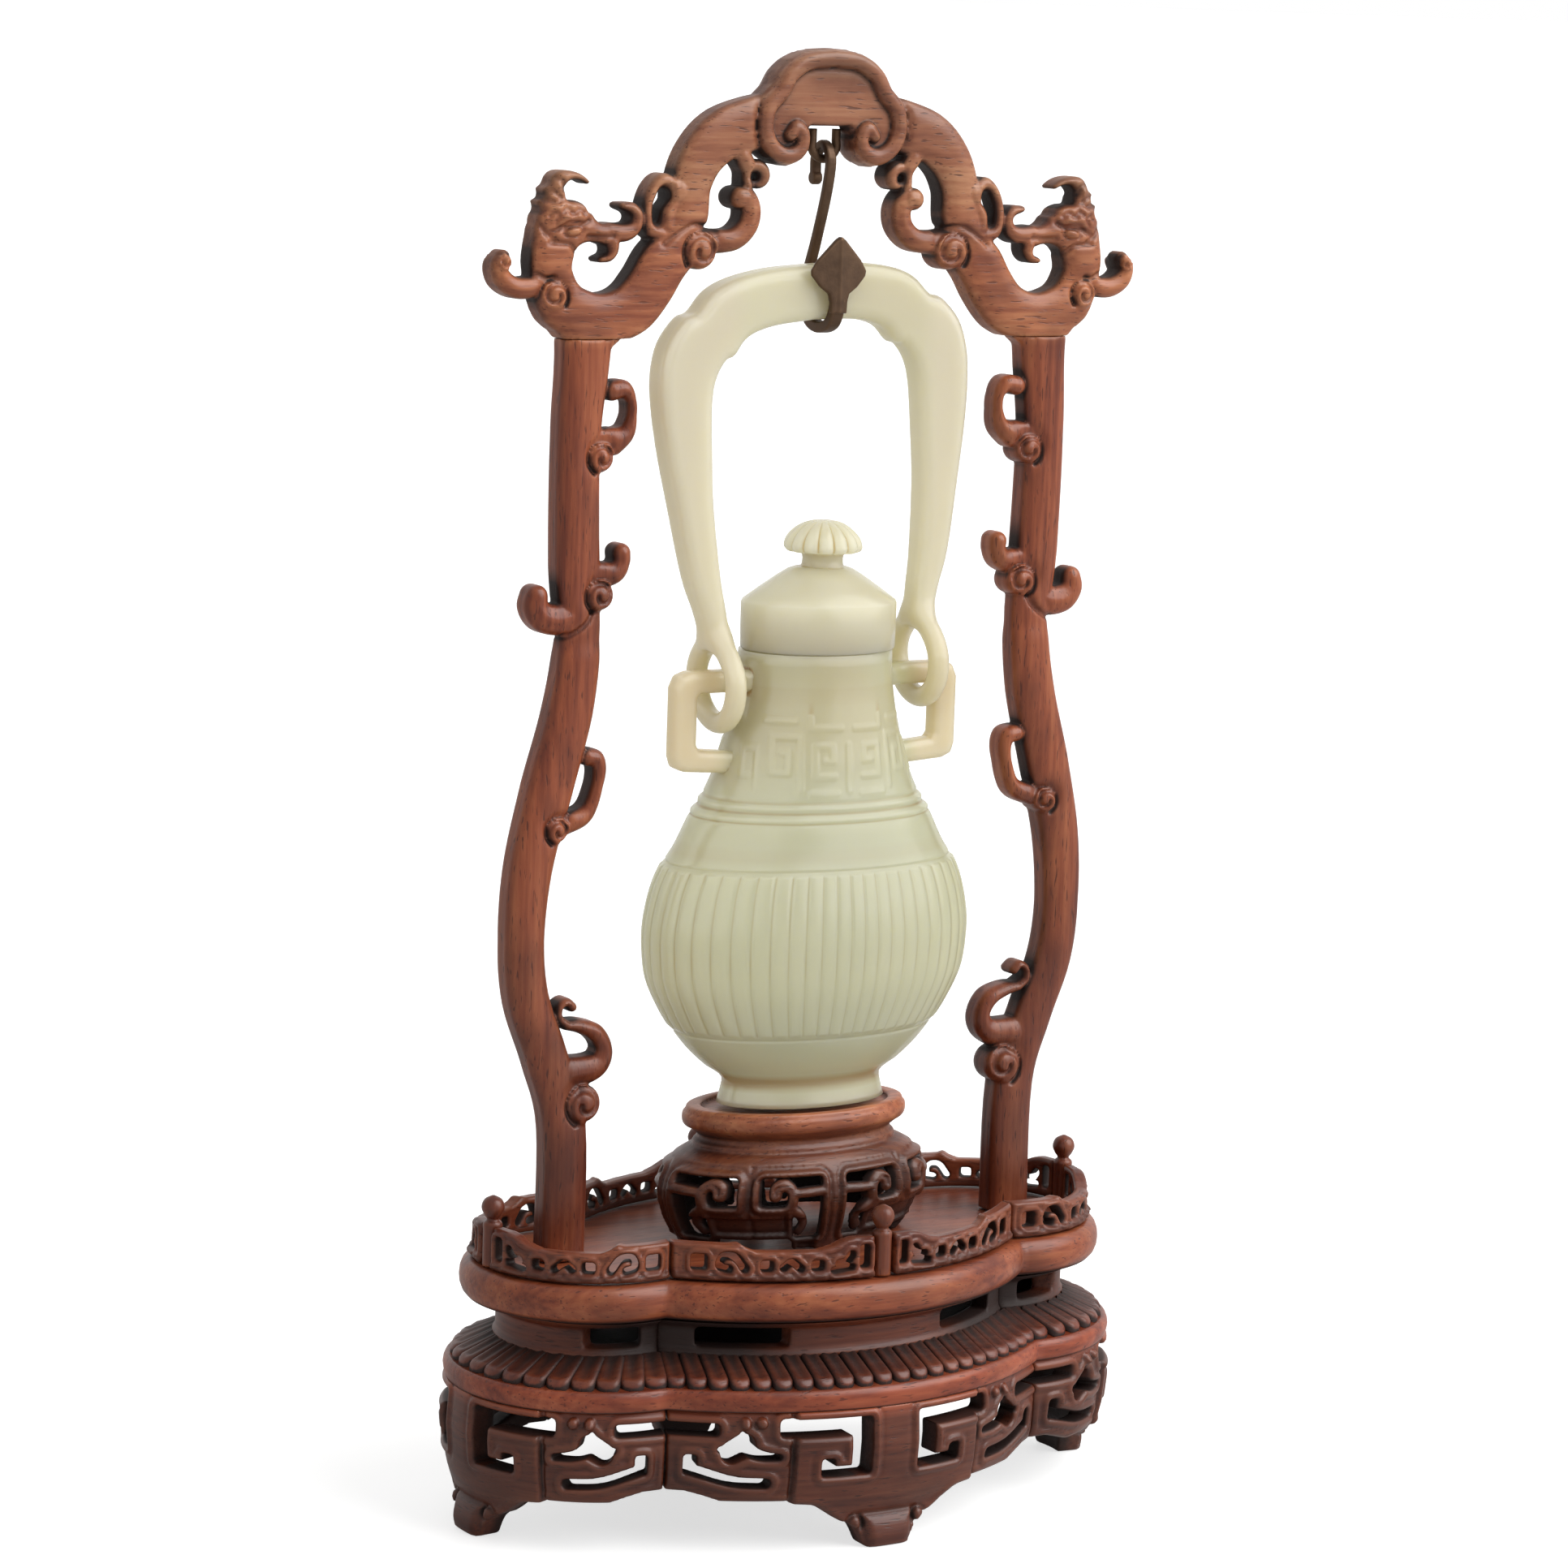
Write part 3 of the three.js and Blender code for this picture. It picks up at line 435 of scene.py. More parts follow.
# Tint by height, partly the wood's tone and partly painted light and shade: dark over the apron and cap,
# light bands at the lip and the tray's edge, painted shade low on the uprights, and the crest lightest,
# greying at its top to a painted sheen
FRAME_TONE_AND_LIGHT = [
    (0.05, "#86716f"), (0.09, "#8c7470"), (0.1, "#dcaea0"), (0.11, "#d8aa9c"), (0.114, "#a88680"),
    (0.12, "#957872"), (0.155, "#d0ae9e"), (0.178, "#d2b2a2"), (0.186, "#ac8e84"), (0.24, "#98796f"),
    (0.5, "#d0b09e"), (0.79, "#d2b2a0"), (0.798, "#fff6ea"), (0.84, "#f6ede0"), (0.9, "#dee2e4"),
    (0.98, "#d8dfe8"),
]
rosewood = rosewood_finish("waxed_rosewood", FRAME_TONE_AND_LIGHT)
for lobe, side_name in enumerate(LOBES):
    reach = lobe_reach(PLINTH_PLAN, lobe)
    board, quads, shut = carved_board(
        (-reach, 0, -1.4), (reach, APRON_TOP, APRON_WALL), APRON_STEP,
        lambda along, up: apron_design(along, up, reach - MITRE_GAP), 0.4,
    )
    inset = np.interp(board[:, 1], APRON_RISE, APRON_INSET) + board[:, 2]
    x, y = on_lobe(PLINTH_PLAN, lobe, board[:, 0] / reach, inset)
    # Painted shade deeper in the board: on the walls of the piercings and on its inner face
    shut = np.maximum(shut, 0.45 * ramp(board[:, 2], 1.2, 3.6))
    apron = add_piece(f"carved_apron_{side_name}", np.stack([x, y, board[:, 1]], axis=1), quads, board, shut)
    note_hollows(apron, 10)
    fit(apron, rosewood, "rosewood", f"apron_{side_name}")

# Plinth cap. A lobed rosewood plate lies on the apron, with a plain rolled lip round its edge.
# Its sloping top is cut in a border of gadroon petals that all point out from the waist.
CAP_TOP = 31.3
END_PETALS = 18
FRONT_PETALS = 22
PETAL_LONG = 7.2
PETAL_HALF = 1.9
PETAL_HIGH = 1.2
PETAL_START = 1.2
PETAL_SILL = 28.35
PETAL_SLOPE = 0.43
# Inset and height of the plate from the middle of its underside to the middle of its top
CAP_PROFILE = [
    (9, 24.6), (0.4, 24.6), (0.25, 25.0), (0.05, 25.7), (-0.05, 26.4), (0.05, 27.1), (0.3, 27.7),
    (0.65, 28.05), (1.0, 28.1), (1.3, 28.0), (4.5, 29.2), (7.2, 30.4), (7.8, CAP_TOP), (9, CAP_TOP),
]


def loft(rings):
    """Points and faces of a skin over closed rings, with both end rings drawn to their middles."""
    count, around = rings.shape[:2]
    points = np.concatenate([rings.reshape(-1, 3), [rings[0].mean(axis=0), rings[-1].mean(axis=0)]])
    index = np.arange(count * around).reshape(count, around)
    ahead = np.roll(index, -1, axis=1)
    quads = np.stack([index[:-1], ahead[:-1], ahead[1:], index[1:]], axis=-1).reshape(-1, 4)
    base = [(b, a, len(points) - 2) for a, b in zip(index[0].tolist(), ahead[0].tolist())]
    top = [(a, b, len(points) - 1) for a, b in zip(index[-1].tolist(), ahead[-1].tolist())]
    return points, base + quads.tolist() + top


def hoop(turn, half, depth, z):
    """A level ring of points round the origin, from its half length, its half depth and its height."""
    return np.stack([half * np.cos(turn), depth * np.sin(turn), np.full(len(turn), z)], axis=1)


def lobed_rings(plan, profile, per_lobe):
    """Rings of points of a body on a lobed plan, from its profile of insets and heights."""
    share = -1 + 2 * np.arange(per_lobe) / per_lobe
    rings = []
    for inset, height in profile:
        lobes = [np.stack(on_lobe(plan, lobe, share, inset), axis=1) for lobe in range(4)]
        ring = np.concatenate(lobes)
        rings.append(np.column_stack([ring, np.full(len(ring), height)]))
    return np.array(rings)


def petal_mesh():
    """One tongue with a blunt, rounded end at the origin and a raised edge, rising inwards along +Y."""
    rings, shut = [], []
    turn = np.linspace(0, math.pi, 11)
    for y in (0.0, 0.12, 0.45, 1.0, 1.8, 4.0, PETAL_LONG):
        end = (1.001 - (1 - min(y / PETAL_HALF, 1)) ** 2.6) ** (1 / 2.6)
        half = PETAL_HALF * end * (1 - 0.12 * y / PETAL_LONG)
        dish = 0.42 * np.exp(-((np.cos(turn) / 0.5) ** 2)) * ramp(y, 0.5, 1.8)
        x = np.append(half * np.cos(turn), [-half, half])
        rise = PETAL_HIGH * (min(1, 0.35 + y) * np.sin(turn) ** 0.5 - dish)
        rings.append(np.stack([x, np.full(13, y), np.append(rise, [-0.6, -0.6]) + PETAL_SLOPE * y], axis=1))
        # Painted shade between the petals, in their dished middles, and more towards the waist
        shut.append(
            np.append(0.6 * (1 - np.sin(turn) ** 0.4) + 0.6 * dish, [0.6, 0.6]) + 0.35 * y / PETAL_LONG
        )
    points, faces = loft(np.array(rings))
    mesh = bpy.data.meshes.new("petal")
    mesh.from_pydata((points * MM).tolist(), [], faces)
    mesh.shade_smooth()
    store(mesh, "shut_in", np.append(np.concatenate(shut), [0.3, 0.6]))
    return mesh


def finished_mesh(piece):
    """The plain mesh that a piece's modifiers give."""
    bpy.context.view_layer.update()
    return bpy.data.meshes.new_from_object(piece.evaluated_get(bpy.context.evaluated_depsgraph_get()))


def petal_border(spots, inward, stretch, material):
    """Sets a petal at every spot, stretched and turned away from the waist, and returns them as one mesh."""
    petal = in_scene("petal", petal_mesh())
    bed = bpy.data.meshes.new("petal_spots")
    bed.from_pydata((spots * MM).tolist(), [], [])
    store(bed, "inward", inward)
    store(bed, "stretch", stretch)
    border = in_scene("petal_border", bed)
    tree = bpy.data.node_groups.new("gadroon_border", "GeometryNodeTree")
    tree.interface.new_socket("Spots", in_out="INPUT", socket_type="NodeSocketGeometry")
    petal_socket = tree.interface.new_socket("Petal", in_out="INPUT", socket_type="NodeSocketObject")
    tree.interface.new_socket("Border", in_out="OUTPUT", socket_type="NodeSocketGeometry")
    given = add_node(tree, "NodeGroupInput")
    shape = add_node(tree, "GeometryNodeObjectInfo", {"Object": given.outputs["Petal"]})
    toward, size = (
        add_node(tree, "GeometryNodeInputNamedAttribute", {"Name": name}, data_type="FLOAT_VECTOR").outputs[0]
        for name in ("inward", "stretch")
    )
    turn = add_node(tree, "FunctionNodeAlignRotationToVector", {"Vector": toward}, axis="Y", pivot_axis="Z")
    placed = add_node(tree, "GeometryNodeInstanceOnPoints", {
        "Points": given.outputs["Spots"],
        "Instance": shape.outputs["Geometry"],
        "Rotation": turn.outputs[0],
        "Scale": size,
    })
    real = add_node(tree, "GeometryNodeRealizeInstances", {"Geometry": placed.outputs[0]})
    finished = add_node(tree, "GeometryNodeSetMaterial", {"Geometry": real.outputs[0], "Material": material})
    add_node(tree, "NodeGroupOutput", {"Border": finished.outputs[0]})
    modifier = border.modifiers.new("gadroons", "NODES")
    modifier.node_group = tree
    modifier[petal_socket.identifier] = petal
    mesh = finished_mesh(border)
    for spare in (border, petal):
        bpy.data.objects.remove(spare)
    return mesh


petal_spots, petal_inward, petal_stretch = [], [], []
for lobe in range(4):
    count = FRONT_PETALS if lobe % 2 else END_PETALS
    share = -1 + (2 * np.arange(count) + 1) / count
    outer = np.stack(on_lobe(PLINTH_PLAN, lobe, share, PETAL_START), axis=1)
    inner = np.stack(on_lobe(PLINTH_PLAN, lobe, share, PETAL_START + PETAL_LONG), axis=1)
    heading = (inner - outer) / np.linalg.norm(inner - outer, axis=1)[:, None]
    widen = lobe_reach(PLINTH_PLAN, lobe, PETAL_START) / count / PETAL_HALF
    petal_spots.append(np.column_stack([outer, np.full(count, PETAL_SILL)]))
    petal_inward.append(np.column_stack([heading, np.zeros(count)]))
    petal_stretch.append(np.tile((widen, 1, 1), (count, 1)))
petals = petal_border(
    *(np.concatenate(rows) for rows in (petal_spots, petal_inward, petal_stretch)), rosewood
)
plate, plate_faces = loft(lobed_rings(PLINTH_PLAN, CAP_PROFILE, 48))
petal_points = np.array([v.co for v in petals.vertices]) / MM
petal_shut = np.array([d.value for d in petals.attributes["shut_in"].data])
# Painted shade on the plate's top under and inside the petals, and on its underside
plate_shut = 0.6 * ramp(plate[:, 2], 28.25, 28.6) + 0.5 * (plate[:, 2] < 24.7)
cap = add_piece(
    "gadrooned_cap", np.concatenate([petal_points, plate]),
    [list(face.vertices) for face in petals.polygons]
    + [[i + len(petal_points) for i in face] for face in plate_faces],
    shut=np.concatenate([petal_shut, plate_shut]),
)
cap.data.set_sharp_from_angle(angle=math.radians(50))
fit(cap, rosewood, "rosewood", "plinth_cap")

# Waist. A plain rosewood ring, drawn in between the cap and the tray, carries the tray.
# Long slots pierce it beside the cusps, so that light shows through from the far side.
WAIST_FOOT = 31.6
WAIST_TOP = 38.2
WAIST_INSET = 8.4
WAIST_WALL = 4.0
WAIST_STEP = 0.5
FRONT_SLOT = (15, 31)
END_SLOT = (16, 26)


def waist_design(along, up, reach, ends):
    """Outline of one lobe of the waist with its two slots."""
    a = np.abs(along)
    slot = slot_field(a, up, (ends[0], 33.3), (ends[1], 36.7), 0.8)
    ring = np.maximum(
        np.abs(along) - reach, np.abs(up - (WAIST_FOOT + WAIST_TOP) / 2) - (WAIST_TOP - WAIST_FOOT) / 2
    )
    flare = 3.6 * ramp(up, 36.5, 38.6) + 1.0 * ramp(up, 33.2, 31.4)
    return np.maximum(ring, -slot), 0.2 - flare, np.full(a.shape, WAIST_WALL)


waist_points, waist_quads, waist_grain = [], [], []
for lobe in range(4):
    reach = lobe_reach(PLINTH_PLAN, lobe, WAIST_INSET)
    ends = FRONT_SLOT if lobe % 2 else END_SLOT
    board, quads, _ = carved_board(
        (-reach, WAIST_FOOT, -3.6), (reach, WAIST_TOP, WAIST_WALL), WAIST_STEP,
        lambda along, up: waist_design(along, up, reach + 0.1, ends), 0.3,
    )
    x, y = on_lobe(PLINTH_PLAN, lobe, board[:, 0] / reach, WAIST_INSET + board[:, 2])
    waist_quads.append(quads + sum(len(points) for points in waist_points))
    waist_points.append(np.stack([x, y, board[:, 1]], axis=1))
    waist_grain.append(board)
# Painted shade under the tray's overhang, deepening towards the cusps
waist = add_piece(
    "slotted_waist", np.concatenate(waist_points), np.concatenate(waist_quads), np.concatenate(waist_grain),
    0.18 + 0.34 * ramp(np.abs(np.concatenate(waist_grain)[:, 0]), 8, 26),
)
note_hollows(waist, 6)
fit(waist, rosewood, "rosewood", "waist")

# Tray. One lobed rosewood board with a full, rounded edge carries the frame, the gallery and the vase.
# Its edge is lighter than its floor through the tint by height, which holds painted light, and its floor and
# underside get painted shade.
TRAY_PLAN = lobed_plan(60.3, 35, 35.1, 21.3)
TRAY_TOP = 45.0
TRAY_PROFILE = [
    (5, 38.5), (2.2, 38.5), (1.2, 38.8), (0.5, 39.6), (0.1, 40.7), (0, 41.8), (0.12, 43), (0.5, 44),
    (1.0, 44.6), (1.7, 44.95), (2.2, TRAY_TOP), (5, TRAY_TOP),
]
tray_points, tray_faces = loft(lobed_rings(TRAY_PLAN, TRAY_PROFILE, 60))
# Painted shade under the tray's edge and a little over its floor
tray_shut = 0.6 * ramp(tray_points[:, 2], 39.8, 38.6) + 0.12 * (tray_points[:, 2] > 44.97)
tray = add_piece("lobed_tray", tray_points, tray_faces, shut=tray_shut)
fit(tray, rosewood, "rosewood", "tray")

# Gallery. Eight low fretted rails follow the tray's edge, butted against a post at each lobe's middle.
# The rails are thin boards pierced with small scrolls; the posts are turned, with a ball on top.
GALLERY_PLAN = lobed_plan(58, 32, 33.6, 18.9)
RAIL_FOOT = 45.3
RAIL_LOW = 50.3
RAIL_HIGH = 52.2
RAIL_CUSP = 51.4
RAIL_WALL = 2.2
RAIL_START = 1.9
RAIL_STEP = 0.32
RAIL_SLOTS = [
    ((2.9, 47), (4.6, 50.9)), ((11, 47), (13.2, 48.7)), ((19.6, 47), (21.8, 48.8)),
    ((30.6, 47), (33.4, 49.6)),
]
RAIL_STROKES = [
    ([(6.2, 49.3), (7.2, 48.1), (8.4, 48)], [1.5, 1.3]), ([(6, 47.3), (9.4, 46.9)], [1.0, 0.9]),
    ([(15, 47.4), (16.6, 48.5), (18, 47.6)], [1.1, 1.1]),
    ([(24.4, 47.4), (26, 49.3), (28, 49.4), (28.6, 47.8), (27, 47.3)], [1.3, 1.1]),
]
POST_HALF = 1.6
POST_SIDES = 24


def rail_design(along, up, reach):
    """Outline, piercing and relief of one rail, from its post out to the cusp."""
    board = outline_field(along, up, [
        (RAIL_START, RAIL_FOOT), (reach, RAIL_FOOT), (reach, RAIL_CUSP), (26.6, RAIL_CUSP),
        (25.4, RAIL_CUSP + 0.3), (24.2, RAIL_LOW + 0.6), (22.6, RAIL_LOW), (12, RAIL_LOW),
        (9.6, RAIL_LOW + 0.6), (7.2, RAIL_HIGH - 0.3), (5.6, RAIL_HIGH), (RAIL_START, RAIL_HIGH),
    ])
    fret = fret_field(along, up, RAIL_SLOTS, RAIL_STROKES)
    front = -0.35 * ridge(fret - 0.55, 0.3) + 0.2 * ridge(fret - 1.2, 0.3)
    front -= 0.5 * ramp(up, RAIL_FOOT + 1.4, RAIL_FOOT + 1.0)
    front -= 0.3 * ridge(board + 0.6, 0.35)
    return np.maximum(board, -fret), front, np.full(along.shape, RAIL_WALL)


for lobe, side_name in enumerate(LOBES):
    reach = lobe_reach(GALLERY_PLAN, lobe)
    board, quads, shut = carved_board(
        (RAIL_START, RAIL_FOOT, -1), (reach, RAIL_HIGH, RAIL_WALL), RAIL_STEP,
        lambda along, up: rail_design(along, up, reach - MITRE_GAP), 0.35,
    )
    # Painted shade low on the rail, where it meets the tray
    shut = np.maximum(shut, 0.3 * ramp(board[:, 1], 47.2, 46.2))
    for hand, label in ((1, "a"), (-1, "b")):
        x, y = on_lobe(GALLERY_PLAN, lobe, hand * board[:, 0] / reach, board[:, 2])
        places = np.stack([x, y, board[:, 1]], axis=1)
        rail = add_piece(f"fretted_rail_{side_name}_{label}", places, quads, board, shut)
        note_hollows(rail, 6)
        fit(rail, rosewood, "rosewood", f"gallery_{side_name}_{label}")
    profile = spline([
        (POST_HALF, RAIL_FOOT), (POST_HALF, 47), (POST_HALF, 51), (POST_HALF, RAIL_HIGH + 0.3),
        (1.0, RAIL_HIGH + 1.0), (1.5, RAIL_HIGH + 1.8), (1.95, RAIL_HIGH + 3), (1.5, RAIL_HIGH + 4.3),
        (0.3, RAIL_HIGH + 5.0),
    ], 4)
    turn = np.linspace(0, 2 * math.pi, POST_SIDES, endpoint=False)
    centre = on_lobe(GALLERY_PLAN, lobe, 0.0, RAIL_WALL / 2)
    post_points, post_faces = loft(np.array([hoop(turn, r, r, z) for r, z in profile]) + (*centre, 0))
    post = add_piece(f"ball_post_{side_name}", post_points, post_faces, post_points[:, [2, 0, 1]])
    note_hollows(post, 3)
    fit(post, rosewood, "rosewood", f"gallery_post_{side_name}")

# Uprights. Two sinuous rosewood boards stand in the tray and carry the crest.
# Hooked scrolls stand off their edges, and each scroll winds up in a small volute on the face.
UPRIGHT_TOP = 198.9
UPRIGHT_HALF = 3.1
UPRIGHT_STEP = 0.3
# Where the two boards lay in the plank that they were sawn from
GRAIN_ALONG = 45
GRAIN_ASIDE = 40
UPRIGHT_SPINE = [
    (44.3, RAIL_FOOT - 8), (44.4, RAIL_FOOT), (44.6, 68), (48.2, 80), (51.9, 90), (53, 100), (52.1, 112),
    (49, 125), (45.5, 138), (44.1, 150), (45, 162), (45.4, 182), (44.6, 194), (44.4, UPRIGHT_TOP),
    (44.2, UPRIGHT_TOP + 5),
]
UPRIGHT_WIDTHS = [8.2, 8.2, 7.9, 7.5, 7.4, 7.2, 7.8, 8.4, 8.2, 7.4, 8.1, 7.8, 8.7, 9.2, 9.6]
HOOKS = [
    ([(39.4, 190.5), (37.3, 190.7), (35.95, 189), (35.75, 186.4), (36.6, 183.6), (39, 182)],
     [3.4, 3.0, 1.9, 1.9, 3.0, 4.4]),
    ([(39.2, 182.4), (43, 181.6)], [4.2, 5.4]),
    ([(36.9, 163.8), (36.9, 162.2), (38.3, 160.5), (42, 160)], [3.3, 3.1, 3.8, 5]),
    ([(42.2, 130.2), (40.6, 129.8), (39.95, 128), (40.3, 125.4), (41.4, 122), (43, 120.2), (46, 119.2)],
     [3.0, 3.0, 2.6, 2.3, 2.6, 3.3, 3.8]),
    ([(44.9, 85.3), (42.2, 84.9), (39.2, 83.6), (37.6, 81), (38.2, 78.6), (40.6, 77.3), (44, 77)],
     [1.7, 2.4, 3.0, 3.0, 3.8, 5, 5.6]),
    ([(44.9, 85.4), (46.3, 86.6), (46.2, 88.4), (44.9, 89.2), (43.8, 88.3)], [1.8, 1.5, 1.4, 1.7]),
]
UPRIGHT_BRACKET = [(40.4, 196.4), (39.7, 197.6), (38.7, 198.4), (37.4, 199.2), (43, 203), (43, 196.4)]
UPRIGHT_LEAF = [(44, 156), (45.4, 154.4), (48, 153.2), (50.9, 153.6), (52.4, 155.3), (52.3, 157.1)]
LEAF_WIDTHS = [2.6, 4.2, 5.2, 5.0, 4.4, 3.8]
# Volutes on the face: middle, radius, angle at which the groove starts, and the way it winds
UPRIGHT_VOLUTES = [
    (41.7, 179.6, 2.5, -60, 1), (41.2, 157, 2.7, -60, 1), (48, 118.3, 2.2, -60, 1), (41.6, 71.8, 3.3, -60, 1),
]


def volute(u, v, middle_u, middle_v, radius, start, hand):
    """Height that a wound scroll end adds to a carved face: a scooped ground, and a coil cut in a boss."""
    away = np.hypot(u - middle_u, v - middle_v)
    bearing = np.arctan2(v - middle_v, u - middle_u) - math.radians(start + hand * 130)
    turn = np.linspace(0, 1, 24)
    angle = math.radians(start) + hand * 2.3 * math.pi * turn
    coil = radius * (1.08 - 0.8 * turn ** 0.9)
    path = list(zip(middle_u + coil * np.cos(angle), middle_v + coil * np.sin(angle)))
    groove = stroke_field(u, v, path, [0.34 * radius, 0.22 * radius], 2)
    scoop = 0.7 * ridge(away - radius, 0.5 * radius) * (0.5 + 0.5 * np.cos(bearing)) * (away > radius)
    return 0.7 * boss((away / (1.05 * radius)) ** 2) - scoop - 0.7 * ramp(groove, 0.3, -0.25)


def pillow(side, half, drop, width):
    """Half thickness of a board whose face is rounded down towards its sawn edge."""
    return half - drop * np.clip(1 + side / width, 0, 1) ** 2


def upright_design(u, v):
    """Outline and face of an upright; u runs out from the middle of the stand."""
    stem = stroke_field(u, v, UPRIGHT_SPINE, UPRIGHT_WIDTHS)
    leaf = stroke_field(u, v, UPRIGHT_LEAF, LEAF_WIDTHS)
    hook = fret_field(u, v, [], HOOKS)
    discs = [np.hypot(u - x, v - z) - r for x, z, r, _, _ in UPRIGHT_VOLUTES]
    side = np.minimum.reduce([stem, leaf, hook, outline_field(u, v, UPRIGHT_BRACKET)] + discs)
    height = pillow(side, UPRIGHT_HALF + 0.1, 1.1, 3.6)
    height -= 0.8 * ridge(leaf - 0.2, 0.5) * ramp(v, 155.4, 154) * ramp(stem, 0.4, -0.4)
    height -= 0.4 * ramp(leaf, 0.1, 0.6) * ramp(v, 146, 150) * ramp(v, 155.4, 154)
    for x, z, r, start, hand in UPRIGHT_VOLUTES:
        height += volute(u, v, x, z, r, start, hand)
    return side, -height, height


board, quads, shut = carved_board(
    (34, RAIL_FOOT, -4.8), (58, UPRIGHT_TOP, 4.8), UPRIGHT_STEP, upright_design, 1.0
)
for hand, side_name in ((1, "right"), (-1, "left")):
    places = np.stack([hand * board[:, 0], board[:, 2], board[:, 1]], axis=1)
    grain = places[:, [2, 0, 1]] * (1, -1, 1) - (GRAIN_ALONG, hand * GRAIN_ASIDE, 0)
    upright = add_piece(f"scrolled_upright_{side_name}", places, quads, grain, shut)
    note_hollows(upright, 10)
    fit(upright, rosewood, "rosewood", f"upright_{side_name}")

# Crest. An arch of two dragons, tail to tail, carved from one rosewood board and set on the uprights.
# A ruyi head with a raised, curling rim sits at its top, and cloud scrolls fill the turns of the arch.
CREST_FOOT = 199.0
CREST_HALF = 3.2
RUYI_HALF = 3.9
CREST_STEP = 0.325
CREST_TOP = 246.7
ARCH_SPINE = [
    (8, 235), (12, 234.6), (19.5, 232.4), (23.8, 228.8), (26, 224), (26.6, 218.5), (28.4, 214), (31, 210.9),
    (33.2, 207.4), (36.2, 204), (40.2, 202.4), (44.5, 202.6), (49.4, 204.8), (51.6, 210.5), (50.8, 216),
]
ARCH_WIDTHS = [9, 9, 8.8, 8, 7.4, 7.7, 8.4, 8.9, 8.9, 8.9, 8.4, 8.0, 8.6, 7.4, 8]
CREST_SOLE = [
    (37.4, CREST_FOOT - 4), (49.2, CREST_FOOT - 4), (49.2, CREST_FOOT), (51, 201), (50.2, 204), (38, 204),
    (37.4, CREST_FOOT),
]
DRAGON_HEAD = [
    (53.8, 207), (54.6, 210), (54.4, 213.5), (54.5, 216), (54.3, 218.6), (53.6, 219.8), (54.2, 221),
    (53, 221.8), (53.2, 223), (52.1, 223.9), (51.7, 225.1), (50.4, 226), (48.6, 226.1), (46.6, 225.6),
    (45, 224.5), (45.3, 223.9), (46.8, 224.5), (48.4, 224.5), (49.3, 223.6), (49.3, 222.4), (49, 221.5),
    (47.4, 221.3), (45.9, 220.7), (45.2, 219.6), (44.3, 219.2), (43.7, 218.4), (42.6, 217.7), (41, 217.6),
    (39.4, 217.6), (38.2, 216.2), (38.8, 214.8), (40, 214.4), (41.6, 214.1), (43, 214.5), (45, 214.6),
    (46.6, 213.9), (47.3, 212.6), (47.7, 211), (47.7, 208.5),
]
CLOUDS = [
    ([(41, 216.2), (38, 216.2), (36.3, 217.2), (35.9, 218.9), (36.9, 220.1), (38.8, 220.5)],
     [3.2, 3.0, 2.5, 2.3, 2.0, 1.2]),
    ([(40.4, 214.8), (40.3, 213.3), (41, 212.2), (42.5, 211.8)], [2.6, 2.1, 1.6, 1.0]),
    ([(54, 207.4), (57.5, 207.2), (60, 208.5), (60.8, 210.7), (60.1, 212)], [3.6, 3.3, 2.7]),
    ([(29.6, 224.2), (31.4, 224.5), (33, 222.7), (33.8, 219.6), (33.3, 216.9), (31.4, 216)],
     [2.6, 2.6, 2.8, 2.8]),
    ([(25, 215.2), (21, 214.8), (17.4, 215.3), (15.1, 217.4), (14.6, 220), (15.6, 222), (16.9, 222)],
     [4.4, 3.8, 3.8, 3.8, 3.6]),
    ([(13.4, 225.7), (13.5, 226.1)], [4.5, 4.5]),
    ([(15.4, 224.2), (15.2, 226.6), (16.6, 229)], [2.2, 3.0, 3.4]),
]
LEAF_WEB = [(29.4, 222), (30.8, 219), (30, 216.6)]
LEAF_SLOT = [(31.2, 222.3), (32.3, 220.4), (32.5, 218.3)]
# Volutes on the face: middle, radius, angle at which the groove starts, and the way it winds
CREST_VOLUTES = [
    (24.3, 213.3, 3.1, -40, 1), (51.4, 206.1, 2.3, 220, -1), (60.2, 211.4, 1.3, 230, -1),
]
# Plain knobs that end the smaller curls: middle and radius
CREST_KNOBS = [(29.4, 223.1, 1.7), (16.9, 222, 1.9)]
# Lines cut in the face: the seam of leaf and arch, jaw, brow, mane and the root of the tail
CREST_LINES = [
    [(31.4, 214.4), (29.8, 215.6), (28.2, 216.6), (26, 217.6), (23.4, 217.3), (21.4, 216.6)],
    [(45.4, 215.6), (43, 215.5), (40.6, 215.7)],
    [(47.6, 213.2), (48.8, 214.3), (50.4, 214.5), (52.4, 214.6)],
    [(53.9, 217.2), (53, 215.8), (51.6, 215.1)],
    [(54.2, 220.6), (52.6, 221.2), (51.2, 220.9)],
    [(53, 222.6), (51.9, 222.7), (50.6, 221.8)],
    [(51.2, 224.8), (50.2, 224.4), (49.8, 223.2)],
    [(54.4, 209.6), (52.9, 208.9), (51.6, 209)],
    [(45.4, 218.2), (46.6, 217.7), (48, 217.9), (49.6, 217.7), (51, 216.8), (52.4, 216.2)],
    [(46.4, 219.3), (47.4, 219.9), (48.4, 219.3)],
    [(49, 219.4), (49.6, 220.1), (50.4, 219.6)],
    [(52.6, 218.8), (51.8, 219.4), (51.1, 218.8), (51.6, 218.1)],
]
LINE_DEEP = 0.6
LINE_WIDE = 0.46
DRAGON_EYE = (48.3, 216.4)
DRAGON_BROW = (49.2, 219.2)
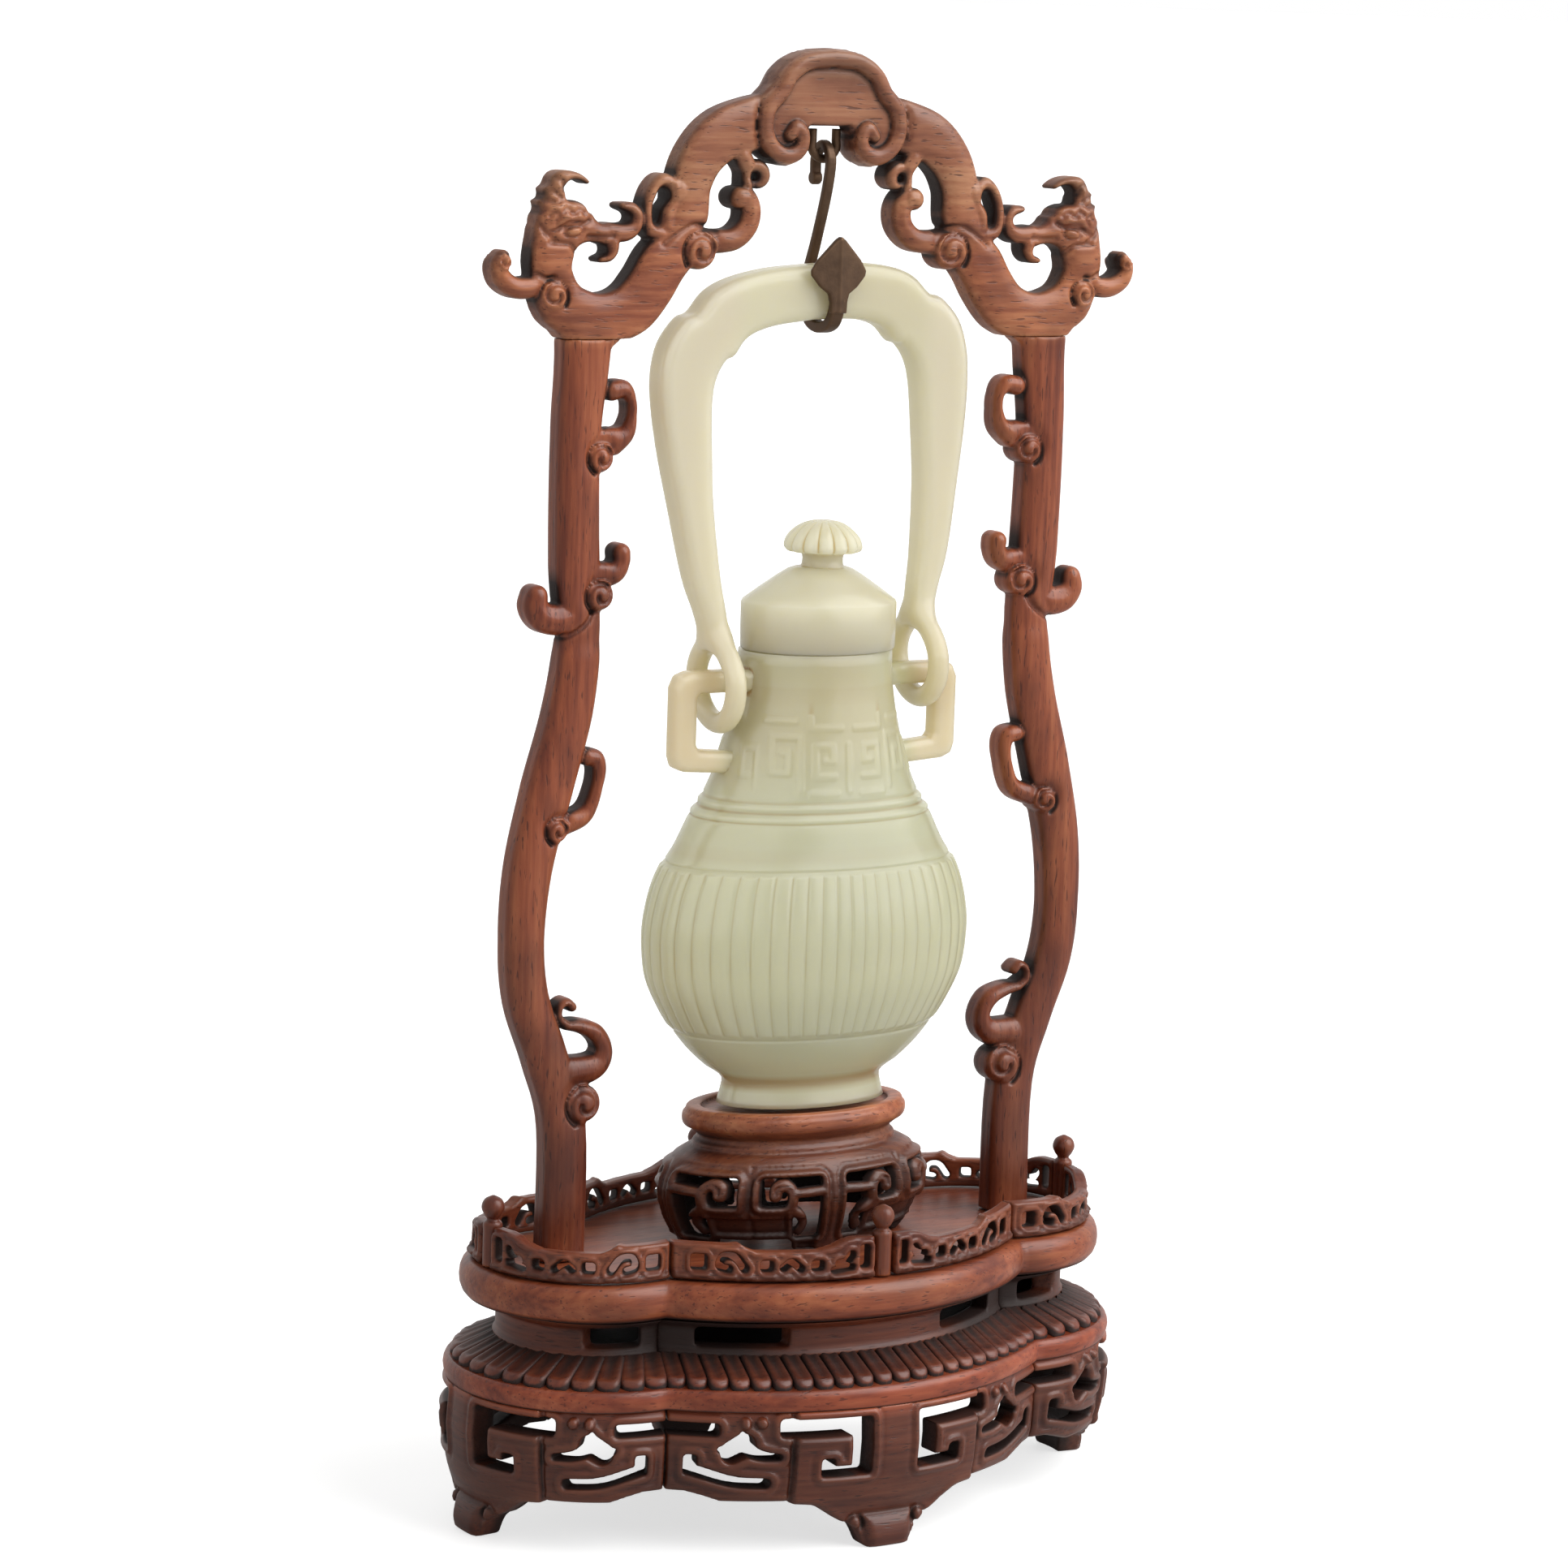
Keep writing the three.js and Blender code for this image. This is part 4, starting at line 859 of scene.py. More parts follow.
RUYI_OUTLINE = [
    (-6, CREST_TOP), (0, CREST_TOP), (3, 246.5), (5.4, 246), (8, 244.8), (10.1, 242.7), (11.4, 240.5),
    (13.2, 238.9), (14.4, 236.4), (14.7, 234), (14.4, 231.8), (13, 229.2), (10.7, 227.6), (8, 227.2),
    (5.7, 228.1), (4.4, 229.9), (4.2, 232), (4.9, 233.9), (-6, 233.9),
]
RUYI_RIM = [
    (0, 245.1), (4.8, 244.5), (8.2, 242.4), (10, 239.5), (12.4, 236.8), (12.9, 233.2), (11.4, 230.2),
    (8.6, 228.9), (6.2, 230), (5.6, 232.2), (6.9, 233.6), (8.1, 232.4),
]


def crest_design(along, v):
    """Outline and face of the crest, the same on both sides of its middle."""
    u = np.abs(along)
    arch = stroke_field(u, v, ARCH_SPINE, ARCH_WIDTHS)
    head = outline_field(u, v, [tuple(q) for q in spline(DRAGON_HEAD, 4)])
    ruyi = outline_field(u, v, RUYI_OUTLINE)
    clouds = fret_field(u, v, [], CLOUDS)
    discs = [np.hypot(u - x, v - z) - r for x, z, r, *_ in CREST_VOLUTES + CREST_KNOBS]
    web = stroke_field(u, v, LEAF_WEB, [4.4, 4.4, 3])
    sole = outline_field(u, v, CREST_SOLE)
    slot = np.minimum(stroke_field(u, v, LEAF_SLOT, [2.3, 1.7, 1.1]), np.hypot(u - 14.1, v - 225.5) - 0.7)
    branch = np.minimum.reduce([arch, head, clouds, web, sole] + discs)
    side = np.maximum(np.minimum(branch, ruyi), -slot)
    height = pillow(branch, CREST_HALF + 0.1, 1.0, 3.4)
    height -= 0.5 * ridge(slot - 0.3, 0.6)
    # The arch sinks a little behind the ruyi head, whose field is cut back inside a round rim
    rim = stroke_field(u, v, RUYI_RIM, [3.0, 3.0, 3.0, 2.3])
    height -= 0.5 * ridge(ruyi, 0.9) * (ruyi > 0)
    field = CREST_HALF - 0.7
    band = boss(np.clip(1 + rim / 1.5, 0, 1) ** 2)
    crown = field + (RUYI_HALF - field) * np.where(rim < 0, np.maximum(band, 0.2), 0)
    crown -= 0.12 * ridge(rim - 0.3, 0.4)
    height = np.where(ruyi < 0, crown, height)
    for line in CREST_LINES:
        height -= LINE_DEEP * ridge(stroke_field(u, v, line, [0, 0]), LINE_WIDE)
    x, z = DRAGON_BROW
    height += 0.7 * boss(((u - x) / 4.4) ** 2 + ((v - z) / 2.0) ** 2)
    x, z = DRAGON_EYE
    almond = np.hypot((u - x) / 1.4, (v - z + 0.12 * (u - x)) / 0.75)
    height += 0.6 * boss(almond ** 2) - 0.35 * ridge(almond - 1.25, 0.25)
    for x, z, r, start, hand in CREST_VOLUTES:
        height += volute(u, v, x, z, r, start, hand)
    for x, z, r in CREST_KNOBS:
        height += 0.5 * boss((np.hypot(u - x, v - z) / r) ** 2)
    return side, -height, height


board, quads, shut = carved_board(
    (-63, CREST_FOOT, -4.8), (63, CREST_TOP + 0.1, 4.8), CREST_STEP, crest_design, 0.9
)
# Its sawn side faces get painted shade, so they read darker than its faces
shut = shut + 0.22 * ramp(np.abs(board[:, 2]), 3.0, 1.8)
crest = add_piece("dragon_crest", board[:, [0, 2, 1]], quads, shut=shut)
note_hollows(crest, 10)
fit(crest, rosewood, "rosewood", "crest")

# Vase stand. A small oval rosewood stand sits loose on the tray under the vase.
# Its rim is a plain moulding, and its bulging wall is pierced in squared scrolls between plain posts.
STAND_X = 0.8
STAND_TOP = 68.7
OVAL = 0.57
STAND_WALL = 3.0
STAND_STEP = 0.34
# Half length of the oval at each height, from the feet to the rim
STAND_PROFILE = [
    (45.3, 21.2), (47, 22.6), (50, 24.3), (53, 25.3), (55, 25.5), (57, 25.1), (59, 24.0), (60.4, 22.4),
    (61.3, 20.6), (61.6, 19.6), (61.9, 19.0), (62.5, 19.2), (62.9, 18.5), (63.6, 18.2), (64.2, 18.5),
    (64.5, 19.4), (64.9, 19.5), (65.2, 20.5), (65.8, 21.0), (66.6, 21.15), (67.5, 21.0), (67.9, 20.4),
    (68.2, 20.5), (STAND_TOP + 0.5, 20.2),
]
SEAT_HALF = 17.6
# Piercing of an eighth of the wall, by the distance along from a post, and the coils left standing in it
STAND_SLOTS = [
    ((2.3, 53.3), (13.6, 58.3), 0.7), ((2.3, 47.6), (7.6, 58.3), 0.7), ((7.6, 43), (20, 47.2), 1.2),
]
STAND_COILS = [
    ([(15, 52.4), (11, 52.3), (8.7, 52.6), (7.8, 54), (7.9, 56), (9.2, 57.1), (10.6, 56.6), (10.8, 55.4)],
     [2.4, 2.2, 2.0, 1.9, 2.0, 2.5, 2.3]),
    ([(2, 55.9), (7.9, 55.6)], [1.7, 1.6]),
    ([(8, 53), (6.4, 51.8), (5.6, 50.2), (6.4, 48.8)], [2.0, 1.8, 2.0]),
]
# Half length of the oval half way up the wall, and a quarter of the way round there
STAND_MEAN = 24.5
STAND_QUARTER = 30.9


def oval_distance(x, y, half):
    """Distance outside an upright oval cylinder of a given half length."""
    a, b = half, half * OVAL
    k = np.sqrt((x / a) ** 2 + (y / b) ** 2)
    slope = np.sqrt((x / a ** 2) ** 2 + (y / b ** 2) ** 2)
    return k * (k - 1) / np.maximum(slope, 1e-6)


stand_low = (-27, -16.2, RAIL_FOOT - 1)
stand_axes = [
    np.arange(a, -a + 0.01 if i < 2 else STAND_TOP + 1, STAND_STEP) for i, a in enumerate(stand_low)
]
sx, sy, sz = np.meshgrid(*stand_axes, indexing="ij")
heights, halves = np.array(STAND_PROFILE).T
half = np.interp(sz, heights, halves)
skin = oval_distance(sx, sy, half)
quarter = np.linspace(0, math.pi / 2, 400)
arc = np.hypot(STAND_MEAN * np.diff(np.sin(quarter)), STAND_MEAN * OVAL * np.diff(np.cos(quarter)))
arc = np.concatenate([[0], np.cumsum(arc)])
along = np.interp(np.arctan2(np.abs(sx), np.abs(sy) / OVAL), quarter, arc)
near_post = np.minimum(along, STAND_QUARTER - along)
fret = np.maximum(fret_field(near_post, sz, STAND_SLOTS, []), -fret_field(near_post, sz, [], STAND_COILS))
relief = (
    0.4 * ridge(fret - 0.7, 0.4) - 0.3 * ridge(fret - 1.5, 0.35)
    - 0.4 * ridge(along - STAND_QUARTER / 2, 0.4)
)
# Below the scrolls the wall is sunk, so that the posts stand out as legs
relief -= 1.0 * ramp(sz, 51.6, 50.9) * ramp(near_post, 2.6, 3.4)
wall = soft_corner(skin - relief * (sz < 60), -fret, 0.3)
hollow = np.maximum(oval_distance(sx, sy, half - STAND_WALL), sz - 61)
seat = np.maximum(oval_distance(sx, sy, np.full(sz.shape, SEAT_HALF)), STAND_TOP - 0.9 - sz)
body = np.maximum.reduce([wall, -hollow, -seat, RAIL_FOOT - sz])
stand_block = soft_corner(body, sz - STAND_TOP, 0.5)
points, quads, shut = surface(stand_block, stand_low, STAND_STEP)
# Painted shade inside the stand's wall and over its sunk lower wall
inner = oval_distance(points[:, 0], points[:, 1], np.interp(points[:, 2], heights, halves))
shut = np.maximum(shut, 0.8 * ramp(inner, -1.3, -2.0) * (points[:, 2] < 62))
shut = np.maximum(shut, 0.42 * ramp(points[:, 2], 53, 47.5) * ramp(inner, 0.2, -0.6))
stand = add_piece("pierced_vase_stand", points + (STAND_X, 0, 0), quads, shut=shut)
note_hollows(stand, 8)
# The stand's tint by height paints shade low down, darkest at its feet and lower wall, and light at its rim
STAND_TONE_AND_SHADE = [(0.195, "#65524d"), (0.24, "#948279"), (0.252, "#b09c90"), (0.266, "#ecdcd0")]
stand_rosewood = rosewood_finish("shaded_stand_rosewood", STAND_TONE_AND_SHADE)
fit(stand, stand_rosewood, "rosewood", "vase_stand")

# Vase. An oval, hollow jade vessel with a foot, a band of upright reeds and two squared lugs on its neck.
# It was ground from one pebble and polished; a low scroll band runs round the neck over two cords.
VASE_X = 1.8
VASE_FOOT = 69.0
VASE_RIM = 146.4
NECK_OVAL = 0.76
REEDS = 50
REED_RELIEF = 0.36
SCROLL_WIDE = 0.9
SCROLL_RELIEF = 0.16
BAND_FOOT = 82.3
BAND_TOP = 110.5
CORDS = (119.4, 121.2)
CUT_LINES = (81.9, 110.9, 118.6, 120.3, 122)
# Half length of the oval outside at each height, where the sole begins, and of the hollow inside
VASE_PROFILE = [
    (VASE_FOOT, 15.8), (71, 15.2), (73.1, 14.9), (74.4, 16.2), (75.6, 18.2), (78.2, 21.2), (80.4, 23.2),
    (82.2, 24.6), (85, 26.5), (89.6, 28.9), (93.2, 29.9), (98.9, 30.3), (103.4, 29.7), (107.3, 28.6),
    (110.5, 27.0), (113.4, 25.0), (118.4, 22.3), (121, 20.4), (125, 18.3), (128.7, 17), (132, 15.9),
    (136.5, 14.8), (141, 14.1), (VASE_RIM, 13.8),
]
VASE_SOLE = 0.6 * VASE_PROFILE[0][1]
VASE_HOLLOW = [(VASE_RIM, 10.4), (137, 10.9), (123.5, 15.5), (105, 25.4), (91, 25), (80.5, 19), (77, 6)]
# One half of the neck's relief, in the distance round from the front and the height
NECK_SCROLLS = [
    [(0, 124), (0, 131.6)],
    [(2.4, 126.4), (5.4, 126.4), (5.4, 131.4), (2.6, 131.4), (2.6, 129), (3.9, 129)],
    [(7.6, 124.4), (7.6, 133), (12.4, 133), (12.4, 127), (9.6, 127), (9.6, 130.4), (10.8, 130.4)],
    [(1.2, 134.4), (6, 134.4), (6, 136.2)],
    [(8.4, 135.6), (13.4, 135.6)],
    [(15, 124.4), (15, 131), (18, 131), (18, 126.4), (16.6, 126.4)],
    [(2, 123.6), (6, 123.6)],
]
LUG_OUTLINE = [
    (11.8, 143.5), (25, 143.5), (26.9, 142.8), (27.8, 140.8), (27.8, 129.2), (27.2, 127.4), (25.4, 126.6),
    (15.2, 125.9), (14.8, 129.6), (22.7, 130.3), (23.3, 131.1), (23.3, 139), (22.7, 139.7), (11.8, 139.7),
]
LUG_HALF = 2.0
LUG_STEP = 0.35


def jade_finish(name, pale, deep, stain, lug):
    """Polished nephrite: pale and cloudy, lit from within, browned a little where it has been handled.

    The lugs, out at the edge of the pebble, have a tint of their own.
    """
    material, tree, shader = new_finish(name)
    place = add_node(tree, "ShaderNodeTexCoord").outputs["Object"]
    hollow = add_node(tree, "ShaderNodeAttribute", attribute_name="hollow").outputs["Fac"]
    # Clouds some 28 mm wide
    cloud = add_node(tree, "ShaderNodeTexNoise", {"Vector": place, "Scale": 36.0, "Detail": 1.0})
    share = add_node(tree, "ShaderNodeMapRange", {0: cloud.outputs[0], 1: 0.3, 2: 0.7})
    body = add_node(
        tree, "ShaderNodeMix", {0: share.outputs[0], 6: linear(deep), 7: linear(pale)}, data_type="RGBA"
    )
    across, _, height = add_node(tree, "ShaderNodeSeparateXYZ", {0: place}).outputs
    apart = add_node(tree, "ShaderNodeMath", {0: across, 1: VASE_X * MM}, operation="SUBTRACT")
    apart = add_node(tree, "ShaderNodeMath", {0: apart.outputs[0]}, operation="ABSOLUTE")
    outer = add_node(tree, "ShaderNodeMapRange", {0: apart.outputs[0], 1: 0.0165, 2: 0.0205})
    upper = add_node(tree, "ShaderNodeMapRange", {0: height, 1: 0.1235, 2: 0.127})
    on_lug = add_node(
        tree, "ShaderNodeMath", {0: outer.outputs[0], 1: upper.outputs[0]}, operation="MULTIPLY"
    )
    body = add_node(
        tree, "ShaderNodeMix", {0: on_lug.outputs[0], 6: body.outputs[2], 7: linear(lug)}, data_type="RGBA"
    )
    # The brown skin gathers about the joint of neck and cover, 146 mm up, and in the carving
    below = add_node(
        tree, "ShaderNodeMapRange", {0: height, 1: 0.118, 2: 0.142}, interpolation_type="SMOOTHSTEP"
    )
    above = add_node(
        tree, "ShaderNodeMapRange", {0: height, 1: 0.156, 2: 0.146}, interpolation_type="SMOOTHSTEP"
    )
    zone = add_node(tree, "ShaderNodeMath", {0: below.outputs[0], 1: above.outputs[0]}, operation="MULTIPLY")
    patchy = add_node(tree, "ShaderNodeMath", {0: zone.outputs[0], 1: share.outputs[0]}, operation="MULTIPLY")
    patchy = add_node(tree, "ShaderNodeMath", {0: patchy.outputs[0], 1: 0.4}, operation="MULTIPLY")
    cut = add_node(tree, "ShaderNodeMapRange", {0: hollow, 1: 0.02, 2: 0.2, 4: 0.7})
    brown = add_node(
        tree, "ShaderNodeMath", {0: patchy.outputs[0], 1: cut.outputs[0]}, operation="ADD", use_clamp=True
    )
    colour = add_node(
        tree, "ShaderNodeMix", {0: brown.outputs[0], 6: body.outputs[2], 7: linear(stain)}, data_type="RGBA"
    )
    tree.links.new(colour.outputs[2], shader.inputs["Base Color"])
    shader.inputs["Roughness"].default_value = 0.24
    shader.inputs["IOR"].default_value = 1.61
    shader.inputs["Subsurface Weight"].default_value = 1.0
    shader.inputs["Subsurface Radius"].default_value = (1.0, 0.95, 0.7)
    shader.inputs["Subsurface Scale"].default_value = 0.01
    return material


def vase_oval(z):
    """Depth of the vase as a share of its length: flat at the belly, rounder at the neck."""
    return OVAL + (NECK_OVAL - OVAL) * ramp(z, 106, 138)


def vase_relief(angle, arc_length, z):
    """How far the carving stands out from the vase's plain profile."""
    reed = boss((2 * ((angle * REEDS / (2 * math.pi)) % 1) - 1) ** 2)
    band = ramp(z, BAND_FOOT, BAND_FOOT + 0.7) * ramp(z, BAND_TOP, BAND_TOP - 0.5)
    cords = sum(0.3 * ridge(z - cord, 0.4) for cord in CORDS)
    lines = sum(0.25 * ridge(z - line, 0.22) for line in CUT_LINES)
    scroll = np.minimum.reduce([
        stroke_field(arc_length, z, pair, [SCROLL_WIDE, SCROLL_WIDE])
        for path in NECK_SCROLLS for pair in zip(path, path[1:])
    ])
    return band * REED_RELIEF * reed + cords - lines + SCROLL_RELIEF * ramp(scroll, 0.3, -0.15)


around = REEDS * 8
angle = np.linspace(0, 2 * math.pi, around, endpoint=False)
even = angle + 0.15 * np.sin(2 * angle)
levels = np.unique(np.concatenate([
    np.linspace(VASE_FOOT, BAND_FOOT - 1, 16), np.linspace(BAND_FOOT - 0.9, BAND_FOOT + 0.9, 13),
    np.linspace(BAND_FOOT + 0.9, BAND_TOP - 0.8, 22), np.linspace(BAND_TOP - 0.8, BAND_TOP + 0.9, 13),
    np.linspace(BAND_TOP + 1, 118, 6), np.linspace(118, 137, 60), np.linspace(137, VASE_RIM, 6),
]))
outside = spline([(half, z) for z, half in VASE_PROFILE], 10)
rings = [hoop(even, VASE_SOLE, VASE_SOLE * OVAL, VASE_FOOT)]
for z in levels:
    half = np.interp(z, outside[:, 1], outside[:, 0])
    round_front = np.abs((even + math.pi / 2 + math.pi) % (2 * math.pi) - math.pi)
    round_front = np.minimum(round_front, math.pi - round_front)
    reach = half + vase_relief(angle, round_front * half * (1 + vase_oval(z)) / 2, np.full(around, z))
    rings.append(hoop(even, reach, reach * vase_oval(z), z))
for half, z in spline([(half, z) for z, half in VASE_HOLLOW], 4):
    rings.append(hoop(even, half, half * vase_oval(z), z))
body_points, body_faces = loft(np.array(rings))
vase = add_piece("reeded_vase", body_points + (VASE_X, 0, 0), body_faces)


def lug_design(u, v):
    """A squared jade lug, thicker where it grows out of the neck."""
    side = outline_field(np.abs(u), v, LUG_OUTLINE)
    thick = LUG_HALF + 0.8 * ramp(np.abs(u), 18, 14)
    return side, -thick, thick


def weld(piece, other):
    """Joins another mesh to a piece, as if both were ground from one block."""
    join = piece.modifiers.new("weld", "BOOLEAN")
    join.operation, join.solver, join.object = "UNION", "MANIFOLD", other
    joined = finished_mesh(piece)
    joined.materials.clear()
    piece.modifiers.clear()
    piece.data = joined
    bpy.data.objects.remove(other)


lug_points, lug_quads, _ = carved_board((-28, 125, -3), (28, 144, 3), LUG_STEP, lug_design, 1.3)
lugs = add_piece("lugs", lug_points[:, [0, 2, 1]] + (VASE_X, 0, 0), lug_quads)
weld(vase, lugs)
note_hollows(vase, 6)
celadon = jade_finish("polished_celadon_jade", "#c8c4a2", "#bfbe9c", "#a88c5c", "#d3c4a8")
fit(vase, celadon, "jade", "vase")

# Cover. A jade lid with a hipped roof rests on the vase's rim.
# Its knob is a small mushroom, cut all round in petals like a flower.
COVER_FOOT = 146.5
KNOB_X = 2.6
KNOB_PETALS = 14
COVER_X = VASE_X + 0.4
COVER_PROFILE = [
    (5, 152.5), (10.4, 151.4), (10.4, COVER_FOOT + 0.2), (10.6, COVER_FOOT), (13.6, COVER_FOOT),
    (13.85, COVER_FOOT + 0.3), (13.95, 150), (13.95, 154.3),
    (13.7, 154.8), (11, 156.7), (8, 158.7), (6, 159.9), (4.8, 160.3), (2, 160.5),
]
KNOB_PROFILE = [
    (2.5, 159), (3.9, 159.8), (3.5, 160.8), (3.5, 162.2), (4.2, 162.9), (5.9, 162.9), (6.6, 163.4),
    (6.65, 164.2), (6.1, 165.5), (4.8, 166.8), (3.2, 167.7), (1.6, 168.1), (0.5, 168.2),
]
turn = np.linspace(0, 2 * math.pi, 112, endpoint=False)
roof = np.array([hoop(turn, r, r * NECK_OVAL, z) for r, z in COVER_PROFILE]) + (COVER_X, 0, 0)
knob_rings = []
for r, z in spline(KNOB_PROFILE, 3):
    depth = 0.75 * ramp(r, 1.2, 3.5) * ramp(z, 162.6, 163.2)
    reach = r - depth * (1 - np.abs(np.sin(turn * KNOB_PETALS / 2)) ** 0.7)
    knob_rings.append(hoop(turn, reach, reach, z))
roof_points, roof_faces = loft(roof)
knob_points, knob_faces = loft(np.array(knob_rings) + (KNOB_X, 0, 0))
cover = add_piece("hipped_cover", roof_points, roof_faces)
knob = add_piece("knob", knob_points, knob_faces)
weld(cover, knob)
cover.data.set_sharp_from_angle(angle=math.radians(38))
note_hollows(cover, 4)
creamy = jade_finish("polished_cream_jade", "#cfcab0", "#c9c2a6", "#b89c6c", "#cfc7b0")
fit(cover, creamy, "jade", "cover")

# Bail. One jade handle with stepped shoulders, cut from the same pebble as the vase.
# Each end is a closed loop that was carved through its lug, so that the two hang as links of a chain.
BAIL_TILT = math.radians(4)
BAIL_X = 1.9
BAIL_Z = 151.7
BAIL_HALF = 3.2
BAIL_STEP = 0.4
LOOP_X = 19.9
LOOP_WIRE = 1.8
LOOP_LONG = 17.6
LOOP_DEEP = 6.6
BAIL_OUTER = [
    (0, 59.5), (8, 59.3), (15, 58.2), (19.5, 56.3), (22.6, 53.2), (25, 52.3), (28.3, 48.5), (29.8, 43.5),
    (29.9, 38), (29, 30), (27.2, 20), (25.2, 9), (23.4, 3.4), (22.2, -1), (21.6, -2.6),
]
BAIL_INNER = [
    (18.3, -2.6), (18, -1), (18.5, 3.4), (19.4, 9), (20.4, 20), (20.4, 30), (20.1, 38), (19.2, 42),
    (17.3, 44.8), (15.6, 45.5), (13, 48.3), (8, 49.8), (0, 50.3),
]


def bail_design(along, up):
    """Outline of the handle; its thickness swells a little at the shoulders."""
    u = np.abs(along)
    shape = [tuple(p) for p in spline(BAIL_OUTER, 4)] + [tuple(p) for p in spline(BAIL_INNER, 4)]
    side = outline_field(u, up, [(-6, 59.5)] + shape + [(-6, 50.3)])
    thick = BAIL_HALF - 0.4 * ramp(up, 20, 0)
    return side, -thick, thick


block, corner = board_block((-31, -19, -9), (31, 60.5, 9), BAIL_STEP, bail_design, 1.9)
bx, bz, by = (corner[i] + BAIL_STEP * np.arange(block.shape[i]) for i in range(3))
loop_angle = np.linspace(0, 2 * math.pi, 40)
loop_reach = LOOP_LONG / 2 - LOOP_WIRE
loop_y = np.cos(loop_angle) * LOOP_DEEP * (1 - 0.28 * np.maximum(np.sin(loop_angle), 0) ** 2)
loop_z = np.sin(loop_angle) * loop_reach - loop_reach - LOOP_WIRE
lz, ly = np.meshgrid(bz, by, indexing="ij")
wire_line = stroke_field(ly, lz, list(zip(loop_y, loop_z)), [0, 0], 1)
loops = np.hypot(wire_line[None], np.abs(bx)[:, None, None] - LOOP_X) - LOOP_WIRE
share = np.clip(0.5 + (loops - block) / 5.0, 0, 1)
block = loops + (block - loops) * share - 2.5 * share * (1 - share)
points, quads, _ = surface(block, corner, BAIL_STEP)
cos_tilt, sin_tilt = math.cos(BAIL_TILT), math.sin(BAIL_TILT)
places = np.stack([
    BAIL_X + cos_tilt * points[:, 0] - sin_tilt * points[:, 1],
    points[:, 2],
    BAIL_Z + sin_tilt * points[:, 0] + cos_tilt * points[:, 1],
], axis=1)
bail = add_piece("linked_bail", places, quads)
note_hollows(bail, 6)
fit(bail, creamy, "jade", "bail")

# Hook. A bronze strap hangs by its crook on the staple and goes round behind and under the bail.
# Its front end is hammered out to a pointed leaf that hides the handle's middle.
HOOK_X = 0.8
STRAP_THICK = 1.8
STRAP_HALF = 1.2
HOOK_STEP = 0.22
HOOK_SPINE = [
    (3.6, 225.4), (3.5, 228.8), (1.2, 230.9), (-1.1, 228.6), (-0.2, 223), (2.6, 215), (4.7, 209.5),
    (4.8, 205), (3.4, 201.6), (0, 200.5), (-3.4, 201.6), (-4.8, 204.6), (-4.7, 207),
]
HOOK_LEAF = [
    (-6, 203.2), (1.5, 203.2), (1.55, 205), (1.9, 206.4), (3.6, 207.6), (5.2, 209.4), (5.3, 210.3),
    (4.2, 212), (2.4, 213.8), (0.9, 215.3), (0, 215.9), (-0.9, 215.3), (-6, 211),
]
LEAF_FRONT = -5.85


def bronze_finish():
    """Old bronze, handled to a dull brown, with a darker skin in patches and brighter worn edges."""
    material, tree, shader = new_finish("brown_bronze")
    place = add_node(tree, "ShaderNodeTexCoord").outputs["Object"]
    hollow = add_node(tree, "ShaderNodeAttribute", attribute_name="hollow").outputs["Fac"]
    # Patches of skin about 2 mm wide, and hammer marks of about half a millimetre
    skin = add_node(tree, "ShaderNodeTexNoise", {"Vector": place, "Scale": 450.0, "Detail": 4.0})
    marks = add_node(tree, "ShaderNodeTexNoise", {"Vector": place, "Scale": 1800.0, "Detail": 2.0})
    tone = add_node(
        tree, "ShaderNodeMix", {0: skin.outputs[0], 6: linear("#3a2a20"), 7: linear("#6d5440")},
        data_type="RGBA",
    )
    edge = add_node(tree, "ShaderNodeMapRange", {0: hollow, 1: -0.02, 2: -0.15, 4: 0.5})
    lightened_edge = add_node(
        tree, "ShaderNodeMix", {0: edge.outputs[0], 6: tone.outputs[2], 7: linear("#8a6c50")},
        data_type="RGBA",
    )
    tree.links.new(lightened_edge.outputs[2], shader.inputs["Base Color"])
    rough = add_node(tree, "ShaderNodeMapRange", {0: skin.outputs[0], 1: 0.3, 2: 0.7, 3: 0.42, 4: 0.62})
    tree.links.new(rough.outputs[0], shader.inputs["Roughness"])
    bump = add_node(tree, "ShaderNodeBump", {"Height": marks.outputs[0], "Strength": 0.3, "Distance": 0.0001})
    tree.links.new(bump.outputs[0], shader.inputs["Normal"])
    shader.inputs["Metallic"].default_value = 0.75
    return material


def strap_design(along, up):
    """The strap seen from the side, with a small knob where its crook ends."""
    strap = stroke_field(along, up, HOOK_SPINE, [0.75 * STRAP_THICK] * 3 + [STRAP_THICK] * 3)
    knob = np.hypot(along - 3.6, up - 225.2) - 1.15
    wide = STRAP_HALF - 0.35 * ramp(up, 207, 212)
    return np.minimum(strap, knob), -wide, wide


def leaf_design(along, up):
    """The pointed leaf, raised along its middle."""
    u = np.abs(along)
    side = outline_field(u, up, HOOK_LEAF)
    front = LEAF_FRONT + 0.12 * u - 0.1 * ridge(u, 0.4)
    return side, front, np.full(along.shape, LEAF_FRONT + 1.4)


strap, strap_quads, _ = carved_board((-6, 199, -1.4), (6, 232.4, 1.4), HOOK_STEP, strap_design, 0.35)
leaf, leaf_quads, _ = carved_board((-6, 203, -6), (6, 216.4, -4), HOOK_STEP, leaf_design, 0.3)
hook_points = np.concatenate([strap[:, [2, 0, 1]], leaf[:, [0, 2, 1]]]) + (HOOK_X, 0, 0)
strap_quads = strap_quads[:, ::-1]
hook = add_piece("leaf_hook", hook_points, np.concatenate([strap_quads, leaf_quads + len(strap)]))
note_hollows(hook, 6)
bronze = bronze_finish()
fit(hook, bronze, "bronze", "hook")

